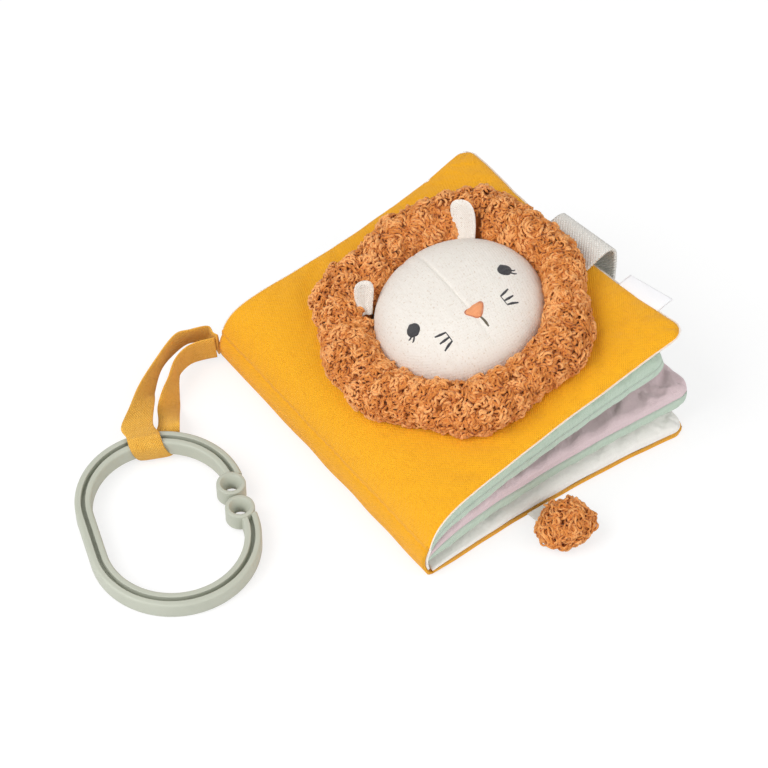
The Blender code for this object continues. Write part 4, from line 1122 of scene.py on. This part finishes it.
# The closing strap: a doubled band of cream twill, sewn into the cover's fore-edge seam a
# little askew. It stands up over the edge and hangs down in front of the leaves.
strap_points = [
    (0.0510, 0.0668), (0.0545, 0.0686), (0.0585, 0.0706), (0.0625, 0.0718), (0.0656, 0.0711),
    (0.0675, 0.0683), (0.0682, 0.0635), (0.0683, 0.0540), (0.0682, 0.0450), (0.0681, 0.0368),
]
twill_look = cloth_look(
    "cream_twill", dye(238, 235, 228), dye(214, 210, 202), dye(248, 246, 242), 0.8,
    streaks=0.3, flecks=0.1, bump=0.2, sheen=0.1,
)
strap_path = smooth_path(strap_points, 90)
strap = thick_strip(
    "strap_twill", strap_path, 0.0014, 0.0165, twill_look, 41, 0.0, middle=-0.0075,
    lean=(0.0, -0.13),
)
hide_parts("strap_base", "strap_flap")
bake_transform(strap)


# The tag: a short length of plain white tape, folded in half and sewn by its raw ends into
# the cover's fore-edge seam. It leans with the seam and lies out flat from it.
white_tape = cloth_look(
    "white_tape", dye(246, 246, 248), dye(232, 232, 236), dye(252, 252, 252), 0.3,
    streaks=0.2, flecks=0.05, bump=0.04, sheen=0.1,
)
tag_corners = on_panel(front_panel, np.array([0.1350, 0.138, 0.141, 0.1442]), 0.0, 0.0)
tag_path = smooth_path(tag_corners[:, [0, 2]], 24)
tag_thickness, tag_rise = 0.0009, 0.0006
tag_path[:, 1] += tag_thickness / 2 + tag_rise * np.sin(np.linspace(0, math.pi, 24))
tag = thick_strip(
    "tag_tape", tag_path, tag_thickness, 0.0112, white_tape, 25, 0.0, middle=-0.048,
    lean=(-0.17, -0.065),
)
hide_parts("tag")
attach(tag, "tag")


# The ring's loop: a band of paler mustard tape whose two ends are sewn into the head end
# of the spine. It stands on its edge there, twists flat over the ring's bar, goes round
# the bar and comes back below itself.
ring_head_centre = np.array([-0.1385, 0.0195])
ring_tail_centre = np.array([-0.145, -0.002])
ring_radius = 0.0324
bar_height = 0.0073
loop_turn = math.radians(66.5)
ring_out = np.array([math.cos(loop_turn), math.sin(loop_turn)])
ring_along = np.array([ring_out[1], -ring_out[0]])
bar_seat = np.array([*(ring_head_centre + ring_out * ring_radius), bar_height])
# Each station is the band's two edges in millimetres, the far one first.
outer_leg = (
    ((-71.4, 78.9, 17.6), (-70.6, 78.9, 4.6)), ((-72.4, 81.0, 18), (-70.4, 82.6, 5.2)),
    ((-73, 83.6, 20), (-73.6, 87.7, 6.7)), ((-81.5, 84.6, 22), (-80.9, 89.4, 8.6)),
    ((-89.5, 84.9, 23), (-90.5, 86.8, 8.8)), ((-105, 77, 22), (-99.4, 81.6, 9.7)),
    ((-116.6, 70.7, 20), (-107.9, 73, 8.9)), ((-125.6, 64.2, 17.5), (-112.5, 65.3, 12.4)),
    ((-133.4, 59.0, 13.8), (-120.4, 54.0, 12.8)),
)
inner_leg = (
    ((-116.6, 57.3, 5), (-110.4, 48.7, 11.7)), ((-112.3, 63.8, 9), (-101, 64.3, 1.2)),
    ((-106.8, 68.6, 12), (-97.6, 70.1, 1.3)), ((-101, 72.4, 14), (-93.2, 77.3, 3.1)),
    ((-94, 78, 16), (-90, 81, 2.4)), ((-87, 80.6, 17), (-84, 82.5, 3.2)),
    ((-80.4, 80.6, 17), (-77.9, 81.8, 3)), ((-72.9, 79.0, 16.4), (-71.9, 79.0, 3.6)),
)
# Round the bar it follows (|x|^4 + |y|^4)^(1/4), at a turn in degrees, and slides along.
bight = ((82, -0.0025), (112, -0.0023), (150, -0.0016), (195, 0.0), (235, 0.002), (272, 0.004),
         (305, 0.006))
bight_out, bight_up, loop_half, half_tape = 0.0051, 0.0055, 0.00715, 0.0008
stations = [np.array(pair) / 1000 for pair in outer_leg]
for turn, slide in bight:
    angle = math.radians(turn)
    corner = (abs(math.cos(angle)) ** 4 + abs(math.sin(angle)) ** 4) ** -0.25
    reach_out = bight_out * corner * math.cos(angle)
    reach_up = bight_up * corner * math.sin(angle)
    centre = bar_seat + np.array([*(ring_out * reach_out + ring_along * slide), reach_up])
    half_width = np.array([*(ring_along * loop_half), 0.0])
    stations.append(np.array([centre - half_width, centre + half_width]))
stations += [np.array(pair) / 1000 for pair in inner_leg]
loop_far = smooth_path([pair[0] for pair in stations], 420)
loop_near = smooth_path([pair[1] for pair in stations], 420)
loop_middle = (loop_far + loop_near) / 2
lanes = np.array([1, 0.97, 0.88, 0.6, 0.3, 0, -0.3, -0.6, -0.88, -0.97, -1])
share = (1 - lanes)[:, None] / 2
band = loop_far[:, None] * (1 - share) + loop_near[:, None] * share
facing = unit(np.cross(unit(np.gradient(loop_middle, axis=0)), unit(loop_far - loop_near)))
thick = half_tape * np.sqrt(np.clip(1 - np.abs(lanes) ** 6, 0.04, 1))[:, None]
face_out = band + facing[:, None] * thick
face_in = band - facing[:, None] * thick
loop_ring = np.concatenate([face_out, face_in[:, ::-1]], 1)
loop_lanes = np.concatenate([lanes, lanes[::-1]]) * loop_half
loop_cut = np.stack(np.broadcast_arrays(run_length(loop_middle)[:, None], loop_lanes), -1)
tape_look = cloth_look(
    "mustard_tape", dye(246, 188, 78), dye(224, 156, 46), dye(252, 206, 116), 0.55,
    streaks=0.5, flecks=0.4, bump=0.2, sheen=0.12,
)
loop_band = make_piece(
    "ring_loop_band", loop_ring.reshape(-1, 3), sleeve_faces(*loop_ring.shape[:2]),
    tape_look, loop_cut.reshape(-1, 2),
)
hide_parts("ring_loop")
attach(loop_band, "ring_loop")


# The link ring: moulded sage-grey plastic, a grooved bar bent into a long oval whose two
# ends are eyelets with bores through them. It leans on the loop.
def plastic_look(name, colour, shadow):
    """Satin moulded plastic: an even colour, faint clouds and a fine orange-peel skin."""
    look, tree, skin = new_look(name, {"Roughness": 0.42, "Specular IOR Level": 0.4})
    cloud = blotches(tree, millimetres(tree, False), 18.0, 2.0)
    peel = blotches(tree, millimetres(tree, False), 0.5, 2.0)
    dress(tree, skin, mixed(tree, cloud, shadow, colour), peel, 0.00005, 0.25)
    return look


long_axis = ring_head_centre - ring_tail_centre
straight = np.linalg.norm(long_axis)
long_axis = long_axis / straight
eyelet_side = np.array([long_axis[1], -long_axis[0]])
eyelet_pitch = 0.0132
bar_start = 0.0044
eyelet_shift = 0.0015
middle = (ring_head_centre + ring_tail_centre) / 2 + long_axis * eyelet_shift
first_turn = math.asin(max(0.0, eyelet_shift + eyelet_pitch / 2 + bar_start - straight / 2)
                       / ring_radius)
upper_turns = np.linspace(first_turn, math.pi, 110)
lower_turns = np.linspace(math.pi, math.tau, 110)
normals = [np.outer(np.cos(turns), eyelet_side) + np.outer(np.sin(turns), long_axis)
           for turns in (upper_turns, lower_turns)]
bar_line = np.concatenate([
    ring_head_centre + normals[0] * ring_radius,
    ring_tail_centre + normals[1] * ring_radius,
    [middle - long_axis * (eyelet_pitch / 2 + bar_start) + eyelet_side * ring_radius],
])
bar_normals = np.concatenate([*normals, [eyelet_side]])
# The bar's section: four rounded corners, with the groove between the upper two.
half, low, high, corner_radius = 0.0036, -0.004, 0.004, 0.0011
groove_sides = ((0.0011, high), (0.0009, high - 0.0002), (0.0008, high - 0.0034))
bar_section = []
for corner_across, corner_up, start_angle in (
    (half, low, -90), (half, high, 0), (-half, high, 90), (-half, low, 180)
):
    centre_across = corner_across - math.copysign(corner_radius, corner_across)
    centre_up = corner_up - math.copysign(corner_radius, corner_up)
    for degrees in (0, 22, 45, 68, 90):
        angle = math.radians(start_angle + degrees)
        bar_section.append((centre_across + corner_radius * math.cos(angle),
                            centre_up + corner_radius * math.sin(angle)))
    if corner_across > 0 and corner_up > 0:
        bar_section += groove_sides
        bar_section += [(-across, up) for across, up in groove_sides[::-1]]
bar_section = np.array(bar_section)
bar_ring = np.concatenate([
    (bar_line[:, None] + bar_normals[:, None] * bar_section[None, :, :1]),
    np.broadcast_to(bar_height + bar_section[:, 1:], (len(bar_line), len(bar_section), 1)),
], -1)
bar_faces = sleeve_faces(*bar_ring.shape[:2])
sage_plastic = plastic_look("sage_plastic", dye(190, 193, 179), dye(176, 179, 164))
ring = make_piece("link_ring_moulded", bar_ring.reshape(-1, 3), bar_faces, sage_plastic)
# An eyelet's section, turned about its own axis: up the flared bore and down the outside.
foot = bar_height + low
top = foot + 0.0086
profile = np.array([
    (0.0025, foot + 0.0040), (0.0028, foot + 0.0012), (0.0036, foot), (0.0057, foot),
    (0.0063, foot + 0.0006), (0.0063, top - 0.001), (0.0061, top - 0.0003), (0.0055, top),
    (0.0046, top - 0.0001), (0.0038, top - 0.0009), (0.0027, top - 0.0034),
])
eyelet_turns = 64
turns = np.arange(eyelet_turns)[:, None] * math.tau / eyelet_turns
eyelets = []
for eyelet_name, sign in (("eyelet_one", 1), ("eyelet_two", -1)):
    centre = middle + eyelet_side * (ring_radius - 0.0025) + long_axis * sign * eyelet_pitch / 2
    tube = np.stack(np.broadcast_arrays(
        centre[0] + np.cos(turns) * profile[:, 0], centre[1] + np.sin(turns) * profile[:, 0],
        profile[:, 1],
    ), -1)
    faces = round_faces(eyelet_turns, len(profile))
    eyelets.append(make_piece(eyelet_name, tube.reshape(-1, 3), faces, sage_plastic))
    join = ring.modifiers.new("join", "BOOLEAN")
    join.operation = "UNION"
    join.solver = "EXACT"
    join.object = eyelets[-1]
joined = ring.evaluated_get(bpy.context.evaluated_depsgraph_get())
ring.data = bpy.data.meshes.new_from_object(joined)
ring.modifiers.clear()
for tube_piece in eyelets:
    bpy.data.objects.remove(tube_piece)
# The ring leans about its bar in the loop until its far side lies on the table.
far_side = (bar_seat[:2] - ring_tail_centre) @ ring_out + ring_radius + half
lean = math.asin((bar_height - high) / far_side)
ring_points = np.empty(len(ring.data.vertices) * 3)
ring.data.vertices.foreach_get("co", ring_points)
ring_points = ring_points.reshape(-1, 3) - bar_seat
axis = np.array([*ring_along, 0.0])
ring_points = (
    ring_points * math.cos(lean) + np.cross(axis, ring_points) * math.sin(lean)
    + np.outer(ring_points @ axis, axis) * (1 - math.cos(lean)) + bar_seat
)
ring.data.vertices.foreach_set("co", ring_points.ravel())
ring.data.polygons.foreach_set("use_smooth", np.ones(len(ring.data.polygons), bool))
ring.data.set_sharp_from_angle(angle=math.radians(35))
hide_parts("link_ring")
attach(ring, "link_ring")


# The tail: a flat stem of cream cotton sewn into the back cover's seam, with a tuft of
# the mane's fleece gathered round its end. It lies on the table.
tail_x, stem_width = -0.0093, 0.0064
stem_share = np.linspace(0, 1, 30)[:, None]
stem_y = -0.0735 - 0.0125 * stem_share
stem_z = 0.0026 + 0.0014 * stem_share**2
stem_half = stem_width - 0.0004 * np.sin(stem_share * 5)
stem_thick = 0.0007 * edge_roll(stem_share + 0.02, 0.12)
lanes = np.array([1, 0.97, 0.85, 0.5, 0, -0.5, -0.85, -0.97, -1])
stem_ring = np.concatenate([
    np.stack(np.broadcast_arrays(
        tail_x + lanes * stem_half, stem_y,
        stem_z + sign * stem_thick * np.sqrt(1 - 0.96 * lanes**6),
    ), -1)[:, ::sign] for sign in (1, -1)
], 1)
stem_lanes = np.concatenate([lanes, lanes[::-1]]) * stem_width
stem_cut = np.stack(np.broadcast_arrays(stem_y, stem_lanes), -1)
stem = make_piece(
    "tail_stem_sewn", stem_ring.reshape(-1, 3), sleeve_faces(*stem_ring.shape[:2]),
    cream_look, stem_cut.reshape(-1, 2),
)
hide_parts("tail_stem")
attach(stem, "tail")


tuft_y, tuft_half, tuft_height = -0.0905, (0.0096, 0.0076), 0.0082
table_gap, curl_gap, tuft_curls = 0.0014, 0.0034, 1150


def tuft_surface(around, along):
    """Places on the tuft's body: an oval ball, lumpy, and flat where it lies on the table."""
    turn = around * math.tau
    level = along * math.pi
    lump = 1 + 0.3 * slow_waves(np.cos(turn), np.sin(turn) + level, 27, 0.7, 1.5)
    x = tail_x + tuft_half[0] * np.sin(level) * np.cos(turn) * lump
    y = tuft_y + tuft_half[1] * np.sin(level) * np.sin(turn) * lump
    z = np.maximum(tuft_height + 0.0062 * np.cos(level), table_gap)
    return np.stack(np.broadcast_arrays(x, y, z), -1)


tuft_rings, tuft_spokes = 30, 60
around, along = np.meshgrid(
    np.arange(tuft_spokes) / tuft_spokes, np.linspace(0, 0.98, tuft_rings + 1)[1:]
)
tuft_points = tuft_surface(around, along).reshape(-1, 3)
tuft_top = tuft_surface(np.array([0.0]), np.array([0.0]))
# The backing under the tuft's curls is dark with painted shade.
tuft = make_piece(
    "tail_tuft_backing", np.concatenate([tuft_top, tuft_points]),
    closed_turning(tuft_rings, tuft_spokes), caramel_fleece,
    shade=np.full(len(tuft_points) + 1, 0.1),
)
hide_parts("tail_tip")
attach(tuft, "tail")
place_around = dice.uniform(0, 1, tuft_curls)
place_along = np.arccos(dice.uniform(-0.75, 1, tuft_curls)) / math.pi
here = tuft_surface(place_around, place_along)
normal = unit(here - np.array([tail_x, tuft_y, 0.0075]))
layer = dice.uniform(0, 1, tuft_curls)
here = here + normal * (0.002 * layer)[:, None]
here[:, 2] = np.maximum(here[:, 2], curl_gap)
# Painted shade: curls deeper in the tuft are darker.
strands = curls(
    "tail_tuft_curls", here, normal, 300, 0.0050, 0.0011, caramel_fleece, 0.0018,
    0.25 + 0.6 * layer,
)
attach(strands, "tail")


# The studio: a white table and sky, and two soft lamps. The table is a plain pale sheet
# that shows the book's shadow and is pure white where the camera sees it lit.
def white_world():
    """A sky that is plain white to the camera, in gloss and through glass, and dim to light."""
    world = bpy.data.worlds.new("studio")
    world.use_nodes = True
    tree = world.node_tree
    tree.nodes.clear()
    path = shading(tree, "LightPath")
    seen = number(tree, "MAXIMUM", path.outputs["Is Camera Ray"], path.outputs["Is Glossy Ray"])
    seen = number(tree, "MAXIMUM", seen, path.outputs["Is Transmission Ray"])
    soft = shading(tree, "Background", {"Color": (1, 1, 1, 1), "Strength": 0.45})
    plain = shading(tree, "Background", {"Color": (1, 1, 1, 1), "Strength": 1.0})
    mix = shading(tree, "MixShader", {0: seen, 1: soft.outputs[0], 2: plain.outputs[0]})
    shading(tree, "OutputWorld", {"Surface": mix.outputs[0]})
    bpy.context.scene.world = world


white_world()
floor_look, floor_tree, floor_skin = new_look("white_table", {"Base Color": (0.9, 0.9, 0.9, 1)})
floor_glow = shading(floor_tree, "Emission", {"Strength": 1.12})
floor_seen = number(
    floor_tree, "MULTIPLY", shading(floor_tree, "LightPath").outputs["Is Camera Ray"], 0.62
)
floor_mix = shading(
    floor_tree, "MixShader", {0: floor_seen, 1: floor_skin.outputs[0], 2: floor_glow.outputs[0]}
)
floor_tree.links.new(
    floor_mix.outputs[0], floor_tree.nodes["Material Output"].inputs["Surface"]
)
floor_reach, floor_level = 6.0, -0.0002
floor_corners = [
    (x * floor_reach, y * floor_reach, floor_level)
    for x, y in ((-1, -1), (1, -1), (1, 1), (-1, 1))
]
floor = make_piece("table_top", floor_corners, [(0, 1, 2, 3)], floor_look)
lamps = (
    ("key_lamp", (-1.15, 0.1, 1.2), 1.2, 18.5),
    ("fill_lamp", (0.2, -1.3, 1.0), 1.4, 10.0),
)
for lamp_name, place, size, power in lamps:
    lamp = bpy.data.objects.new(lamp_name, bpy.data.lights.new(lamp_name, "AREA"))
    lamp.data.size = size
    lamp.data.energy = power
    lamp.location = place
    lamp.rotation_mode = "QUATERNION"
    lamp.rotation_quaternion = (-lamp.location).to_track_quat("-Z", "Y")
    bpy.context.scene.collection.objects.link(lamp)
bpy.context.scene.view_settings.view_transform = "Standard"
